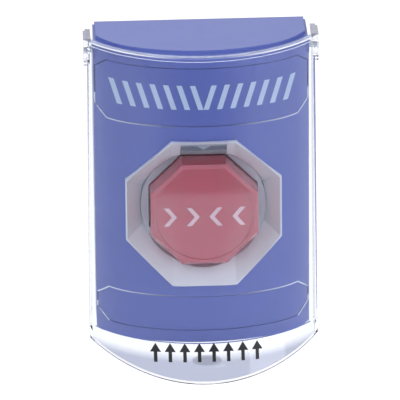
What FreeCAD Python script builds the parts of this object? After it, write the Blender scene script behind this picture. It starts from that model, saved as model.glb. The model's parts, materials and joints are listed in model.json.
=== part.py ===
import FreeCAD, Part
import Sketcher
import math
import os

# Wall-mounted push station with a lift-up clear shield.
# X runs to the right, Y into the wall and Z up. The wall is the plane Y = 0 and the
# middle of the housing's height is Z = 0, so every depth in front of the wall is a
# negative Y. All sizes are millimetres.

V = FreeCAD.Vector
DOCUMENT = FreeCAD.newDocument("push_station")

SIZES = {
    # housing: a bowed shell, with one large front arc and two shoulder arcs
    "housing_width": 84.8,
    "housing_height": 124.4,
    "housing_depth": 36.0,
    "housing_wall": 2.4,
    "bow_radius": 68.2,
    "bow_angle": 24.0,
    "shoulder_radius": 31.6,
    "cap_step": 1.2,
    "cap_inset": 1.8,
    "cap_side_inset": 0.8,
    "top_wall": 3.4,
    # label fields
    "label_recess": 0.9,
    "label_plate_thickness": 0.8,
    "label_gap": 0.25,
    "label_end_depth": 17.0,
    "label_margin": 0.5,
    "label_width": "=housing_width - 2 * label_margin",
    "label_corner": 4.4,
    "upper_label_bottom": 30.6,
    "upper_label_height": 24.8,
    "lower_label_bottom": -57.2,
    "lower_label_height": 14.8,
    # bezel, funnel and well
    "button_height": -6.4,
    "bezel_across_flats": 61.6,
    "bezel_body_across_flats": 60.0,
    "bezel_opening_gap": 0.3,
    "bezel_proud": 1.9,
    "bezel_land": 0.6,
    "bezel_back": 19.5,
    "funnel_angle": 42.0,
    "funnel_side_angle": 50.0,
    "well_diameter": 50.0,
    "well_floor": 22.0,
    "snap_hook_width": 14.0,
    "snap_hook_reach": 1.1,
    "snap_hook_length": 2.6,
    "snap_hook_gap": 0.6,
    "post_screw_bite": 6.0,
    "guide_bore": 12.16,
    "guide_wall": 2.4,
    "guide_end": 17.0,
    "post_diameter": 7.0,
    "post_pitch_x": 50.0,
    "post_pitch_z": 20.0,
    # collar in the bottom of the well
    "collar_gap": 0.2,
    "collar_face": 26.6,
    "collar_button_gap": 0.4,
    # button
    "button_across_flats": 42.4,
    "button_face": 38.2,
    "button_length": 12.2,
    "button_wall": 2.2,
    "button_bevel": 1.3,
    "button_dish_diameter": 38.0,
    "button_dish_depth": 0.4,
    "button_travel": 3.5,
    "stem_diameter": 12.0,
    "socket_diameter": 15.0,
    "socket_gap": 0.05,
    "pusher_length": 40.0,
    "pusher_height": 10.0,
    "pusher_thickness": 2.5,
    "pusher_stop_gap": 0.1,
    "cap_screw_diameter": 3.0,
    "cap_screw_head": 5.6,
    "cap_screw_head_height": 1.8,
    # return spring
    "spring_wire": 1.1,
    "spring_diameter": 22.0,
    "spring_turns": 4.0,
    "spring_steps": 20.0,
    "spring_end_gap": 0.3,
    "guide_front": 27.0,
    "spring_seat": 26.0,
    "spring_seat_diameter": 24.6,
    "socket_length": 4.5,
    "stem_end_gap": 0.1,
    "cap_screw_bite": 0.8,
    # indicator
    "window_width": 18.0,
    "window_length": 5.4,
    "window_thickness": 0.7,
    "window_gap": 0.15,
    "window_setback": 0.25,
    "window_notch": 1.0,
    "light_slot_width": 12.0,
    "light_slot_length": 8.6,
    "light_slot_depth": 35.6,
    "light_slot_reach": 2.1,
    "board_width": 28.0,
    "board_height": 10.0,
    "board_thickness": 1.6,
    "board_face": 27.0,
    "board_centre": 32.0,
    "board_screw_pitch": 21.0,
    "board_boss_diameter": 5.0,
    "board_boss_sink": 0.8,
    "board_screw_bite": 4.5,
    "led_width": 5.0,
    "led_height": 3.0,
    "led_depth": 2.4,
    "lens_diameter": 1.8,
    "lens_length": 1.2,
    # bracket and contact blocks
    "bracket_front": 10.3,
    "bracket_thickness": 2.0,
    "bracket_width": 60.0,
    "bracket_height": 46.0,
    "bracket_corner": 4.0,
    "block_offset": 14.0,
    "block_width": 15.0,
    "block_length": 40.0,
    "block_back": 1.0,
    "block_floor": 0.8,
    "block_terminal_length": 9.0,
    "block_cavity_width": 8.0,
    "block_face": 0.9,
    "block_screw_offset": 5.0,
    "block_screw_pitch": 25.0,
    "block_screw_length": 6.8,
    "terminal_pitch": 31.0,
    "terminal_screw_length": 4.6,
    "slider_back": 5.9,
    "bridge_gap": 0.6,
    "strip_end_gap": 1.0,
    "slider_size": 5.0,
    "slider_gap": 0.1,
    "slider_lead": 0.2,
    "bridge_length": 19.0,
    "bridge_width": 4.0,
    "bridge_thickness": 0.8,
    "bridge_rest": 7.2,
    "strip_width": 5.0,
    "strip_thickness": 0.8,
    "strip_inner": 6.0,
    "contact_gap": 0.2,
    "terminal_screw_diameter": 3.0,
    "terminal_head_diameter": 5.0,
    "terminal_head_height": 1.1,
    "small_screw_diameter": 2.5,
    "small_head_diameter": 4.6,
    "small_head_height": 1.5,
    "long_screw_diameter": 3.0,
    "long_head_diameter": 5.6,
    "long_head_height": 1.9,
    "screw_gap": 0.1,
    "drive_diameter": 1.8,
    "drive_depth": 0.8,
    # back plate
    "plate_thickness": 2.5,
    "plate_gap": 0.25,
    "plate_corner": 3.0,
    "cable_opening_width": 46.0,
    "cable_opening_height": 56.0,
    "cable_opening_corner": 6.0,
    "tall_slot_pitch": 83.3,
    "wide_slot_pitch": 60.3,
    "slot_width": 4.4,
    "slot_length": 8.0,
    "lug_screw_depth": 6.5,
    "lug_screw_length": 9.0,
    "screw_recess": 1.6,
    "hook_width": 10.0,
    "hook_offset": 24.0,
    "hook_depth": 2.2,
    "hook_rise": 1.4,
    "hook_length": 5.0,
    "hook_gap": 0.2,
    "lug_width": 9.0,
    "lug_depth": 8.0,
    "lug_height": 8.0,
    "lug_offset": 27.0,
    "plate_rib": 1.8,
    "plate_rib_height": 3.0,
    # shield
    "shield_wall": 1.4,
    "shield_side_gap": 1.2,
    "shield_width": "=housing_width + 2 * (shield_side_gap + shield_wall)",
    "shield_bow_radius": 57.0,
    "shield_top_room": 4.2,
    "shield_top_depth": "=button_face + shield_top_room",
    "shield_hem_room": 7.4,
    "shield_hem_depth": "=button_face + shield_hem_room",
    "lip_reach": 7.9,
    "shield_lip_depth": "=shield_hem_depth + lip_reach",
    "shield_flare": 0.7,
    "shield_back": 9.0,
    "shield_rise": 0.4,
    "shield_hem_level": -59.0,
    "lip_tip_level": -73.4,
    "lip_side_level": -64.0,
    "shield_end_level": -74.4,
    "dimple_level": -65.2,
    "dimple_half_width": 9.6,
    "dimple_half_height": 3.0,
    "dimple_curve": 2.0,
    "dimple_depth": 0.4,
    "hinge_pin_length": 9.2,
    "rim_bead_height": 1.9,
    "rim_bead_reach": 0.7,
    "ear_thickness": 2.9,
    "ear_length": 11.4,
    "ear_height": 12.0,
    "ear_rounding": 2.0,
    "hinge_setback": 14.7,
    "hinge_drop": 5.6,
    "hinge_pin_diameter": 3.0,
    "hinge_gap": 0.06,
    "hinge_boss_diameter": 8.0,
    "hinge_boss_length": 4.0,
    "hinge_seat_gap": 0.01,
    "hinge_end_gap": 0.3,
}


def make_sheet():
    """Write every driving size to the spreadsheet, one alias to a row."""
    sheet = DOCUMENT.addObject("Spreadsheet::Sheet", "sizes")
    for row, (alias, value) in enumerate(SIZES.items(), start=1):
        sheet.set("A%d" % row, alias.replace("_", " "))
        sheet.set("B%d" % row, str(value))
        sheet.setAlias("B%d" % row, alias)
    DOCUMENT.recompute()
    return sheet


SHEET = make_sheet()


def size(alias):
    """The value of one driving size."""
    return float(SHEET.get(alias))


def bind(thing, **formulas):
    """Tie properties of an object to the spreadsheet."""
    for name, formula in formulas.items():
        thing.setExpression(name, formula)


def place(thing, x="0", y="0", z="0"):
    """Tie an object's position to the spreadsheet."""
    thing.setExpression("Placement.Base.x", x)
    thing.setExpression("Placement.Base.y", y)
    thing.setExpression("Placement.Base.z", z)


def turn(thing, axis, degrees):
    """Give an object its direction."""
    thing.Placement = FreeCAD.Placement(V(0, 0, 0), FreeCAD.Rotation(axis, degrees))


def cylinder(name, radius, length, axis="z", x="0", y="0", z="0"):
    """A cylinder from a point, along +X, +Y or +Z."""
    thing = DOCUMENT.addObject("Part::Cylinder", name)
    if axis == "x":
        turn(thing, V(0, 1, 0), 90)
    if axis == "y":
        turn(thing, V(1, 0, 0), -90)
    bind(thing, Radius=radius, Height=length)
    place(thing, x, y, z)
    return thing


def block(name, width, depth, height, x="0", y="0", z="0"):
    """A box with X centred on x, running from y along +Y and centred on z."""
    thing = DOCUMENT.addObject("Part::Box", name)
    bind(thing, Length=width, Width=depth, Height=height)
    place(thing, "%s - (%s) / 2" % (x, width), y, "%s - (%s) / 2" % (z, height))
    return thing


def rounded_block(name, width, depth, height, radius, x, y, z):
    """A block whose four edges along Y are rounded."""
    plain = block(name + "_blank", width, depth, height, x, y, z)
    return rounded(name, plain, "y", radius)


def rounded(name, base, axis, radius, picked=lambda edge: True):
    """A block with its edges along one axis rounded by a size."""
    DOCUMENT.recompute()
    index = "xyz".index(axis)
    chosen = []
    for number, edge in enumerate(base.Shape.Edges, start=1):
        along = edge.tangentAt(edge.FirstParameter)
        if abs(abs(along[index]) - 1) < 1e-6 and picked(edge):
            chosen.append((number, size(radius), size(radius)))
    thing = DOCUMENT.addObject("Part::Fillet", name)
    thing.Base = base
    thing.Edges = chosen
    return thing


def octagon(name, across_flats, length, y, z="sizes.button_height"):
    """An eight-sided prism with flats up and down, running from y along +Y."""
    thing = DOCUMENT.addObject("Part::Prism", name)
    thing.Polygon = 8
    upright = FreeCAD.Rotation(V(1, 0, 0), -90)
    thing.Placement = FreeCAD.Placement(V(0, 0, 0), upright * FreeCAD.Rotation(V(0, 0, 1), 22.5))
    bind(thing, Circumradius="(%s) / 2 / cos(22.5 deg) * 1 mm" % across_flats, Height=length)
    place(thing, "0", y, z)
    return thing


def join(name, *things):
    """One solid made of several."""
    thing = DOCUMENT.addObject("Part::MultiFuse", name)
    thing.Shapes = list(things)
    thing.Refine = True
    return thing


def cut(name, base, *tools):
    """A base less its tools."""
    tool = tools[0]
    if len(tools) > 1:
        tool = DOCUMENT.addObject("Part::MultiFuse", name + "_tools")
        tool.Shapes = list(tools)
    thing = DOCUMENT.addObject("Part::Cut", name)
    thing.Base = base
    thing.Tool = tool
    thing.Refine = True
    return thing


def common(name, *things):
    """What several solids share."""
    thing = DOCUMENT.addObject("Part::MultiCommon", name)
    thing.Shapes = list(things)
    return thing


def group(name, *things):
    """Several separate solids that count as one piece, such as a set of screws."""
    thing = DOCUMENT.addObject("Part::Compound", name)
    thing.Links = list(things)
    return thing


def extrude(name, sketch, length, start):
    """A sketch in the XY plane raised along +Z from a level."""
    thing = DOCUMENT.addObject("Part::Extrusion", name)
    thing.Base = sketch
    thing.DirMode = "Normal"
    thing.Solid = True
    bind(thing, LengthFwd=length)
    place(thing, "0", "0", start)
    return thing


def push_through(name, sketch, length, start):
    """A sketch drawn in X and Z, raised along +Y from a depth."""
    thing = DOCUMENT.addObject("Part::Extrusion", name)
    thing.Base = sketch
    thing.DirMode = "Custom"
    thing.Dir = V(0, 1, 0)
    thing.Solid = True
    bind(thing, LengthFwd=length)
    place(thing, "0", start, "0")
    return thing


def formula(terms):
    """A spreadsheet formula from a table of alias to factor."""
    return " + ".join("%g * sizes.%s" % (factor, alias) for alias, factor in terms.items()) or "0"


def amount(terms):
    """The same sum as a number, for a sketch's first shape."""
    return sum(factor * size(alias) for alias, factor in terms.items())


def measure(sketch, label, constraint, text):
    """Add a named constraint and tie it to the spreadsheet."""
    sketch.addConstraint(constraint)
    sketch.renameConstraint(sketch.ConstraintCount - 1, label)
    sketch.setExpression("Constraints." + label, text)


def bowed_sketch(name, grow, back=1.0, sides=None):
    """The housing's plan outline, grown by a sum of sizes; its straight sides can grow by another.

    It has a straight back line behind the wall plane, straight sides, two shoulder arcs and
    a large front arc. Outlines with different growth stay parallel.
    """
    sketch = DOCUMENT.addObject("Sketcher::SketchObject", name)
    angle = math.radians(size("bow_angle"))
    reach = size("bow_radius") - size("shoulder_radius")
    sides = sides or grow
    half = size("housing_width") / 2 + amount(sides)
    front_radius = size("bow_radius") + amount(grow)
    side_radius = size("shoulder_radius") + amount(grow)
    front_y = size("bow_radius") - size("housing_depth")
    side_x = reach * math.sin(angle)
    side_y = front_y - reach * math.cos(angle)
    edge_y = side_y - math.sqrt(side_radius ** 2 - (half - side_x) ** 2)
    end = math.atan2(edge_y - side_y, half - side_x)
    down = -math.pi / 2
    up = V(0, 0, 1)
    front = Part.Circle(V(0, front_y, 0), up, front_radius)
    right = Part.Circle(V(side_x, side_y, 0), up, side_radius)
    left = Part.Circle(V(-side_x, side_y, 0), up, side_radius)
    for curve in (
        Part.LineSegment(V(-half, back, 0), V(half, back, 0)),
        Part.LineSegment(V(half, back, 0), V(half, edge_y, 0)),
        Part.ArcOfCircle(right, down + angle, end),
        Part.ArcOfCircle(front, down - angle, down + angle),
        Part.ArcOfCircle(left, math.pi - end - 2 * math.pi, down - angle),
        Part.LineSegment(V(-half, edge_y, 0), V(-half, back, 0)),
    ):
        sketch.addGeometry(curve)
    for first, first_end, second, second_end in (
        (0, 2, 1, 1), (1, 2, 2, 2), (4, 1, 5, 1), (5, 2, 0, 1),
    ):
        sketch.addConstraint(Sketcher.Constraint("Coincident", first, first_end, second, second_end))
    sketch.addConstraint(Sketcher.Constraint("Tangent", 2, 1, 3, 2))
    sketch.addConstraint(Sketcher.Constraint("Tangent", 3, 1, 4, 2))
    sketch.addConstraint(Sketcher.Constraint("Horizontal", 0))
    sketch.addConstraint(Sketcher.Constraint("Vertical", 1))
    sketch.addConstraint(Sketcher.Constraint("Vertical", 5))
    sketch.addConstraint(Sketcher.Constraint("PointOnObject", 3, 3, -2))
    sketch.addConstraint(Sketcher.Constraint("DistanceY", -1, 1, 0, 1, back))
    width = "sizes.housing_width / 2 + " + formula(sides)
    side = "(sizes.bow_radius - sizes.shoulder_radius) * sin(sizes.bow_angle * 1 deg)"
    side_growth = "sizes.shoulder_radius + " + formula(grow)
    measure(sketch, "front_centre", Sketcher.Constraint("DistanceY", -1, 1, 3, 3, front_y),
            "sizes.bow_radius - sizes.housing_depth")
    measure(sketch, "front_radius", Sketcher.Constraint("Radius", 3, front_radius),
            "sizes.bow_radius + " + formula(grow))
    measure(sketch, "right_radius", Sketcher.Constraint("Radius", 2, side_radius), side_growth)
    measure(sketch, "left_radius", Sketcher.Constraint("Radius", 4, side_radius), side_growth)
    measure(sketch, "right_centre", Sketcher.Constraint("DistanceX", -1, 1, 2, 3, side_x), side)
    measure(sketch, "left_centre", Sketcher.Constraint("DistanceX", 4, 3, -1, 1, side_x), side)
    measure(sketch, "right_side", Sketcher.Constraint("DistanceX", -1, 1, 1, 1, half), width)
    measure(sketch, "left_side", Sketcher.Constraint("DistanceX", 5, 2, -1, 1, half), width)
    return sketch


def outline_sketch(name, corners):
    """A closed outline in X and Z from corner formulas; its own Y is the real Z.

    corners is a list of (x, z) pairs, each a table of alias to factor.
    """
    sketch = DOCUMENT.addObject("Sketcher::SketchObject", name)
    points = [V(amount(x), amount(z), 0) for x, z in corners]
    count = len(points)
    for index in range(count):
        sketch.addGeometry(Part.LineSegment(points[index], points[(index + 1) % count]))
    for index in range(count):
        sketch.addConstraint(Sketcher.Constraint("Coincident", index, 2, (index + 1) % count, 1))
    for index, (x, z) in enumerate(corners):
        measure(sketch, "x%d" % index,
                Sketcher.Constraint("DistanceX", -1, 1, index, 1, points[index].x), formula(x))
        measure(sketch, "z%d" % index,
                Sketcher.Constraint("DistanceY", -1, 1, index, 1, points[index].y), formula(z))
    sketch.Placement = FreeCAD.Placement(V(0, 0, 0), FreeCAD.Rotation(V(1, 0, 0), 90))
    return sketch


def d_section(name, width, radius, depth, back, level):
    """The shield's plan outline at a level: straight sides and one bowed front arc."""
    sketch = DOCUMENT.addObject("Sketcher::SketchObject", name)
    half = amount(width)
    bow = amount(radius)
    centre_y = bow - amount(depth)
    rear = amount(back)
    edge_y = centre_y - math.sqrt(bow ** 2 - half ** 2)
    start = math.atan2(edge_y - centre_y, -half)
    finish = math.atan2(edge_y - centre_y, half)
    for curve in (
        Part.LineSegment(V(-half, rear, 0), V(half, rear, 0)),
        Part.LineSegment(V(half, rear, 0), V(half, edge_y, 0)),
        Part.ArcOfCircle(Part.Circle(V(0, centre_y, 0), V(0, 0, 1), bow), start, finish),
        Part.LineSegment(V(-half, edge_y, 0), V(-half, rear, 0)),
    ):
        sketch.addGeometry(curve)
    for first, first_end, second, second_end in (
        (0, 2, 1, 1), (1, 2, 2, 2), (2, 1, 3, 1), (3, 2, 0, 1),
    ):
        sketch.addConstraint(Sketcher.Constraint("Coincident", first, first_end, second, second_end))
    sketch.addConstraint(Sketcher.Constraint("Horizontal", 0))
    sketch.addConstraint(Sketcher.Constraint("Vertical", 1))
    sketch.addConstraint(Sketcher.Constraint("Vertical", 3))
    sketch.addConstraint(Sketcher.Constraint("PointOnObject", 2, 3, -2))
    measure(sketch, "bow", Sketcher.Constraint("Radius", 2, bow), formula(radius))
    measure(sketch, "bow_centre", Sketcher.Constraint("DistanceY", -1, 1, 2, 3, centre_y),
            "(%s) - (%s)" % (formula(radius), formula(depth)))
    measure(sketch, "back", Sketcher.Constraint("DistanceY", -1, 1, 0, 1, rear), formula(back))
    measure(sketch, "right_side", Sketcher.Constraint("DistanceX", -1, 1, 1, 1, half), formula(width))
    measure(sketch, "left_side", Sketcher.Constraint("DistanceX", 3, 2, -1, 1, half), formula(width))
    place(sketch, "0", "0", level)
    return sketch


def chamfered_rectangle(name, width, bottom, height, corner, inset=None):
    """Corner points of a rectangle with cut corners in X and Z, shrunk by an inset."""
    outwards = {inset: -1} if inset else {}
    inwards = {inset: 1} if inset else {}
    side = {width: 0.5, **outwards}
    left = {width: -0.5, **inwards}
    low = {bottom: 1, **inwards}
    high = {bottom: 1, height: 1, **outwards}

    def shifted(table, factor):
        return {**table, corner: factor}

    return outline_sketch(name, [
        (shifted(left, 1), low), (shifted(side, -1), low), (side, shifted(low, 1)),
        (side, shifted(high, -1)), (shifted(side, -1), high), (shifted(left, 1), high),
        (left, shifted(high, -1)), (left, shifted(low, 1)),
    ])


def bowed_solid(name, grow, length="sizes.housing_height + 2", start="-sizes.housing_height / 2 - 1"):
    """A bowed block whose plan outline is grown by a sum of sizes."""
    return extrude(name, bowed_sketch(name + "_outline", grow), length, start)


OUT = 60
FAR = "-%g" % OUT
THROUGH = "%g" % OUT
HALF_HEIGHT = "sizes.housing_height / 2"
AXIS_Y = "-sizes.hinge_setback"
AXIS_Z = "sizes.housing_height / 2 - sizes.hinge_drop"
CENTRE = "sizes.button_height"
BEHIND_WALL = block("behind_wall", "sizes.housing_width + 20", "20", "sizes.housing_height + 40")


def screw_set(name, places, radius, length, head_radius, head_height, direction):
    """A set of pan-head screws with a round drive recess.

    places are (x, y, z) formulas of the face under each head. direction is the way that the
    shank goes: +1 or -1 along the axis named after it.
    """
    sign, axis = direction
    index = "xyz".index(axis)
    drive = "sizes.drive_diameter / 2"
    screws = []
    for number, spot in enumerate(places, start=1):
        tag = "%s_%d" % (name, number)
        back = list(spot)
        if sign < 0:
            back[index] = "%s - (%s)" % (spot[index], length)
        shank = cylinder(tag + "_shank", radius, length, axis, *back)
        seat = list(spot)
        if sign > 0:
            seat[index] = "%s - (%s)" % (spot[index], head_height)
        head = cylinder(tag + "_head", head_radius, head_height, axis, *seat)
        top = list(spot)
        if sign > 0:
            top[index] = "%s - (%s) - 1" % (spot[index], head_height)
        else:
            top[index] = "%s + (%s) - sizes.drive_depth" % (spot[index], head_height)
        recess = cylinder(tag + "_recess", drive, "sizes.drive_depth + 1", axis, *top)
        screws.append(cut(tag, join(tag + "_blank", shank, head), recess))
    return group(name, *screws)


def from_front(alias):
    """The length of a cut that starts in front of every piece and ends at a depth."""
    return "%g - sizes.%s" % (OUT, alias)


def label_prism(name, bottom, height, inset=None):
    """The label field's outline pushed through the front of the housing."""
    outline = chamfered_rectangle(name + "_outline", "label_width", bottom, height, "label_corner", inset)
    return push_through(name, outline, from_front("label_end_depth"), FAR)


def make_housing():
    """The bowed shell: raised top, bezel window, label recesses, bosses and screw seats."""
    body = extrude("housing_body", bowed_sketch("housing_outline", {}),
                   "sizes.housing_height - sizes.cap_step", "-" + HALF_HEIGHT)
    cap = extrude("housing_cap", bowed_sketch("cap_outline", {"cap_inset": -1}, sides={"cap_side_inset": -1}),
                  "sizes.cap_step + 1", HALF_HEIGHT + " - sizes.cap_step - 1")
    cavity = extrude("housing_cavity", bowed_sketch("cavity_outline", {"housing_wall": -1}, 2 * size("housing_wall")),
                     "sizes.housing_height - sizes.housing_wall - sizes.top_wall",
                     "-%s + sizes.housing_wall" % HALF_HEIGHT)
    shell = cut("housing_shell", join("housing_blank", body, cap), cavity)
    bosses = []
    for number, side in enumerate(("-", ""), start=1):
        bosses.append(cylinder(
            "board_boss_%d" % number, "sizes.board_boss_diameter / 2",
            "sizes.housing_depth - sizes.label_recess - sizes.board_boss_sink - sizes.board_face", "y",
            side + "sizes.board_screw_pitch / 2",
            "-sizes.housing_depth + sizes.label_recess + sizes.board_boss_sink", "sizes.board_centre"))
    for number, start in enumerate((
        "sizes.housing_width / 2 - sizes.housing_wall - sizes.hinge_boss_length",
        "-sizes.housing_width / 2",
    ), start=1):
        bosses.append(cylinder("hinge_boss_%d" % number, "sizes.hinge_boss_diameter / 2",
                               "sizes.hinge_boss_length + sizes.housing_wall", "x", start, AXIS_Y, AXIS_Z))
    bored = join("housing_bossed", shell, *bosses)
    opening = octagon("bezel_opening", "sizes.bezel_body_across_flats + 2 * sizes.bezel_opening_gap",
                      from_front("bezel_back"), FAR)
    notch = block("window_notch", "sizes.window_width + 4 * sizes.window_gap", from_front("bezel_back"),
                  "sizes.bezel_body_across_flats + 2 * (sizes.bezel_opening_gap + sizes.window_notch)",
                  "0", FAR, CENTRE)
    front = bowed_solid("front_surface", {})
    behind_recess = bowed_solid("recess_floor", {"label_recess": -1})
    recess_layer = cut("recess_layer", front, behind_recess)
    recesses = join("label_prisms",
                    label_prism("upper_recess", "upper_label_bottom", "upper_label_height"),
                    label_prism("lower_recess", "lower_label_bottom", "lower_label_height"))
    tools = [BEHIND_WALL, opening, common("upper_notch", notch, block(
        "above_button", "sizes.housing_width", THROUGH, "sizes.bezel_across_flats", "0", FAR,
        CENTRE + " + sizes.bezel_across_flats / 2")), common("label_recesses", recess_layer, recesses)]
    tools.append(cylinder("hinge_bore", "sizes.hinge_pin_diameter / 2 + sizes.hinge_seat_gap",
                          "sizes.housing_width + 2", "x", "-sizes.housing_width / 2 - 1", AXIS_Y, AXIS_Z))
    for number, side in enumerate(("-", ""), start=1):
        tools.append(cylinder("board_pilot_%d" % number, "sizes.small_screw_diameter / 2",
                              "sizes.board_screw_bite", "y", side + "sizes.board_screw_pitch / 2",
                              "-sizes.board_face - sizes.board_screw_bite", "sizes.board_centre"))
        tools.append(cylinder("foot_hole_%d" % number, "sizes.long_screw_diameter / 2 + sizes.screw_gap",
                              "sizes.housing_wall + 2", "z", side + "sizes.lug_offset",
                              "-sizes.lug_screw_depth", "-%s - 1" % HALF_HEIGHT))
        tools.append(cylinder("foot_recess_%d" % number, "sizes.long_head_diameter / 2 + sizes.screw_gap",
                              "sizes.screw_recess + 1", "z", side + "sizes.lug_offset",
                              "-sizes.lug_screw_depth", "-%s - 1" % HALF_HEIGHT))
        tools.append(block("hook_pocket_%d" % number, "sizes.hook_width + 2 * sizes.hook_gap",
                           "sizes.hook_depth + 2 * sizes.hook_gap",
                           "2 * (sizes.hook_rise + sizes.hook_gap)", side + "sizes.hook_offset",
                           "-sizes.plate_thickness - sizes.hook_depth - sizes.hook_gap",
                           HALF_HEIGHT + " - sizes.top_wall"))
    return cut("housing", bored, *tools)


def make_label(name, bottom, height):
    """A thin plate that follows the bow and lies in its recess."""
    outer = bowed_solid(name + "_front", {"label_recess": -1, "label_plate_thickness": 1})
    inner = bowed_solid(name + "_back", {"label_recess": -1})
    layer = cut(name + "_layer", outer, inner)
    return common(name, layer, label_prism(name + "_prism", bottom, height, "label_gap"))


def bow_level(across, grow):
    """The Y of the bowed front at a distance from the middle, for a grown outline."""
    angle = math.radians(size("bow_angle"))
    centre_y = size("bow_radius") - size("housing_depth")
    radius = size("bow_radius") + grow
    if abs(across) <= radius * math.sin(angle):
        return centre_y - math.sqrt(radius ** 2 - across ** 2)
    reach = size("bow_radius") - size("shoulder_radius")
    radius = size("shoulder_radius") + grow
    offset = abs(across) - reach * math.sin(angle)
    return centre_y - reach * math.cos(angle) - math.sqrt(radius ** 2 - offset ** 2)


def funnel_shape():
    """The space in front of the funnel: what lies ahead of its eight sloping facets.

    Each facet starts at two corners of the rim, which lie on the bow, and slopes in. The
    facets above and below the button are the shallowest and those beside it the steepest.
    """
    apothem = size("bezel_across_flats") / 2 - size("bezel_land")
    radius = apothem / math.cos(math.pi / 8)
    centre_z = size("button_height")
    reach = 4 * size("bezel_across_flats")
    funnel = Part.makeBox(2 * reach, 2 * reach, 2 * reach,
                          V(-reach, -2 * reach - size("well_floor"), -reach))
    steep = math.tan(math.radians(size("funnel_side_angle")))
    shallow = math.tan(math.radians(size("funnel_angle")))
    for index in range(8):
        angle = index * math.pi / 4
        slope = shallow * math.sin(angle) ** 2 + steep * math.cos(angle) ** 2
        corners = []
        for turned in (angle - math.pi / 8, angle + math.pi / 8):
            across = radius * math.cos(turned)
            corners.append(V(across, bow_level(across, size("bezel_proud")),
                             centre_z + radius * math.sin(turned)))
        inward = V(-math.cos(angle), slope, -math.sin(angle))
        normal = (corners[1] - corners[0]).cross(inward)
        if normal.y > 0:
            normal = -normal
        ahead = Part.makeBox(2 * reach, 2 * reach, 2 * reach, V(-reach, -reach, 0))
        ahead.Placement = FreeCAD.Placement(corners[0], FreeCAD.Rotation(V(0, 0, 1), normal))
        funnel = funnel.common(ahead)
    return funnel


def make_bezel():
    """The eight-sided bezel: bowed rim, funnel, round well, guide tube, posts and snap hooks."""
    surface = bowed_solid("bezel_front", {"bezel_proud": 1})
    seat = bowed_solid("bezel_seat", {})
    rim_prism = octagon("rim_prism", "sizes.bezel_across_flats", from_front("bezel_back"), FAR)
    rim = cut("bezel_rim", common("rim_blank", rim_prism, surface), seat)
    body_prism = octagon("body_prism", "sizes.bezel_body_across_flats",
                         from_front("bezel_back"), FAR)
    body = common("bezel_body", body_prism, surface)
    parts = [rim, body]
    number = 0
    for side in ("-", ""):
        for rise in (" - ", " + "):
            number += 1
            parts.append(cylinder("post_%d" % number, "sizes.post_diameter / 2",
                                  "sizes.bezel_back - sizes.bracket_front", "y",
                                  side + "sizes.post_pitch_x / 2", "-sizes.bezel_back",
                                  CENTRE + rise + "sizes.post_pitch_z / 2"))
        sign = "-" if side == "-" else "+"
        parts.append(block(
            "snap_hook_%d" % number, "sizes.snap_hook_width", "sizes.snap_hook_length",
            "sizes.snap_hook_reach + 1",
            "0", "-sizes.housing_depth + sizes.housing_wall + sizes.snap_hook_gap",
            "%s %s (sizes.bezel_body_across_flats / 2 + (sizes.snap_hook_reach - 1) / 2)" % (CENTRE, sign)))
    blank = join("bezel_blank", *parts)
    funnel = DOCUMENT.addObject("Part::Feature", "funnel")
    funnel.Shape = funnel_shape()
    well = cylinder("well", "sizes.well_diameter / 2", from_front("well_floor"), "y", "0", FAR, CENTRE)
    hollow = join("bezel_blank_hollow",
                  cut("bezel_open", blank, funnel, well),
                  cylinder("spring_seat", "sizes.spring_seat_diameter / 2",
                           "sizes.spring_seat - sizes.well_floor", "y", "0", "-sizes.spring_seat", CENTRE),
                  cylinder("guide_tube", "sizes.guide_bore / 2 + sizes.guide_wall",
                           "sizes.guide_front - sizes.guide_end", "y", "0", "-sizes.guide_front", CENTRE))
    tools = [cylinder("guide_hole", "sizes.guide_bore / 2", THROUGH, "y", "0", FAR, CENTRE)]
    number = 0
    for side in ("-", ""):
        for rise in (" - ", " + "):
            number += 1
            tools.append(cylinder("post_pilot_%d" % number, "sizes.long_screw_diameter / 2",
                                  "sizes.post_screw_bite + 1", "y", side + "sizes.post_pitch_x / 2",
                                  "-sizes.bracket_front - sizes.post_screw_bite",
                                  CENTRE + rise + "sizes.post_pitch_z / 2"))
    tools.append(window_block("window_recess", "sizes.window_gap", "sizes.bezel_proud"))
    tools.append(block("light_slot", "sizes.light_slot_width", "sizes.light_slot_length",
                       "2 * sizes.light_slot_reach", "0", "-sizes.light_slot_depth",
                       CENTRE + " + sizes.bezel_body_across_flats / 2"))
    return cut("bezel", hollow, *tools)


def window_block(name, gap="0", ahead="0"):
    """A plate that lies along the upper facet, set back from its face.

    gap widens it all round for the recess, and ahead carries it on in front of the facet.
    """
    thing = DOCUMENT.addObject("Part::Box", name)
    thing.Placement = FreeCAD.Placement(V(0, 0, 0), FreeCAD.Rotation(V(-1, 0, 0), 45))
    thing.setExpression("Placement.Rotation.Angle", "90 deg - sizes.funnel_angle * 1 deg")
    lean = "(sizes.funnel_angle * 1 deg)"
    width = "sizes.window_width + 2 * %s" % gap
    length = "sizes.window_length + 2 * %s" % gap
    bind(thing, Length=width, Width=length, Height="sizes.window_thickness + " + ahead)
    span = "(sizes.bezel_across_flats / 2 - sizes.bezel_land - sizes.well_diameter / 2)"
    middle_z = "%s + sizes.bezel_across_flats / 2 - sizes.bezel_land - %s / 2" % (CENTRE, span)
    corner = "((sizes.bezel_across_flats / 2 - sizes.bezel_land) * tan(22.5 deg))"
    rim_y = "(sizes.bow_radius - sizes.housing_depth" \
            " - sqrt((sizes.bow_radius + sizes.bezel_proud) ^ 2 - %s ^ 2))" % corner
    middle_y = "%s + tan(%s) * %s / 2" % (rim_y, lean, span)
    along = "(%s) / 2" % length
    sink = "(sizes.window_setback - %s)" % ahead
    place(thing, "-(%s) / 2" % width,
          "%s - %s * sin(%s) + %s * cos(%s)" % (middle_y, along, lean, sink, lean),
          "%s + %s * cos(%s) + %s * sin(%s)" % (middle_z, along, lean, sink, lean))
    return thing


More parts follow.
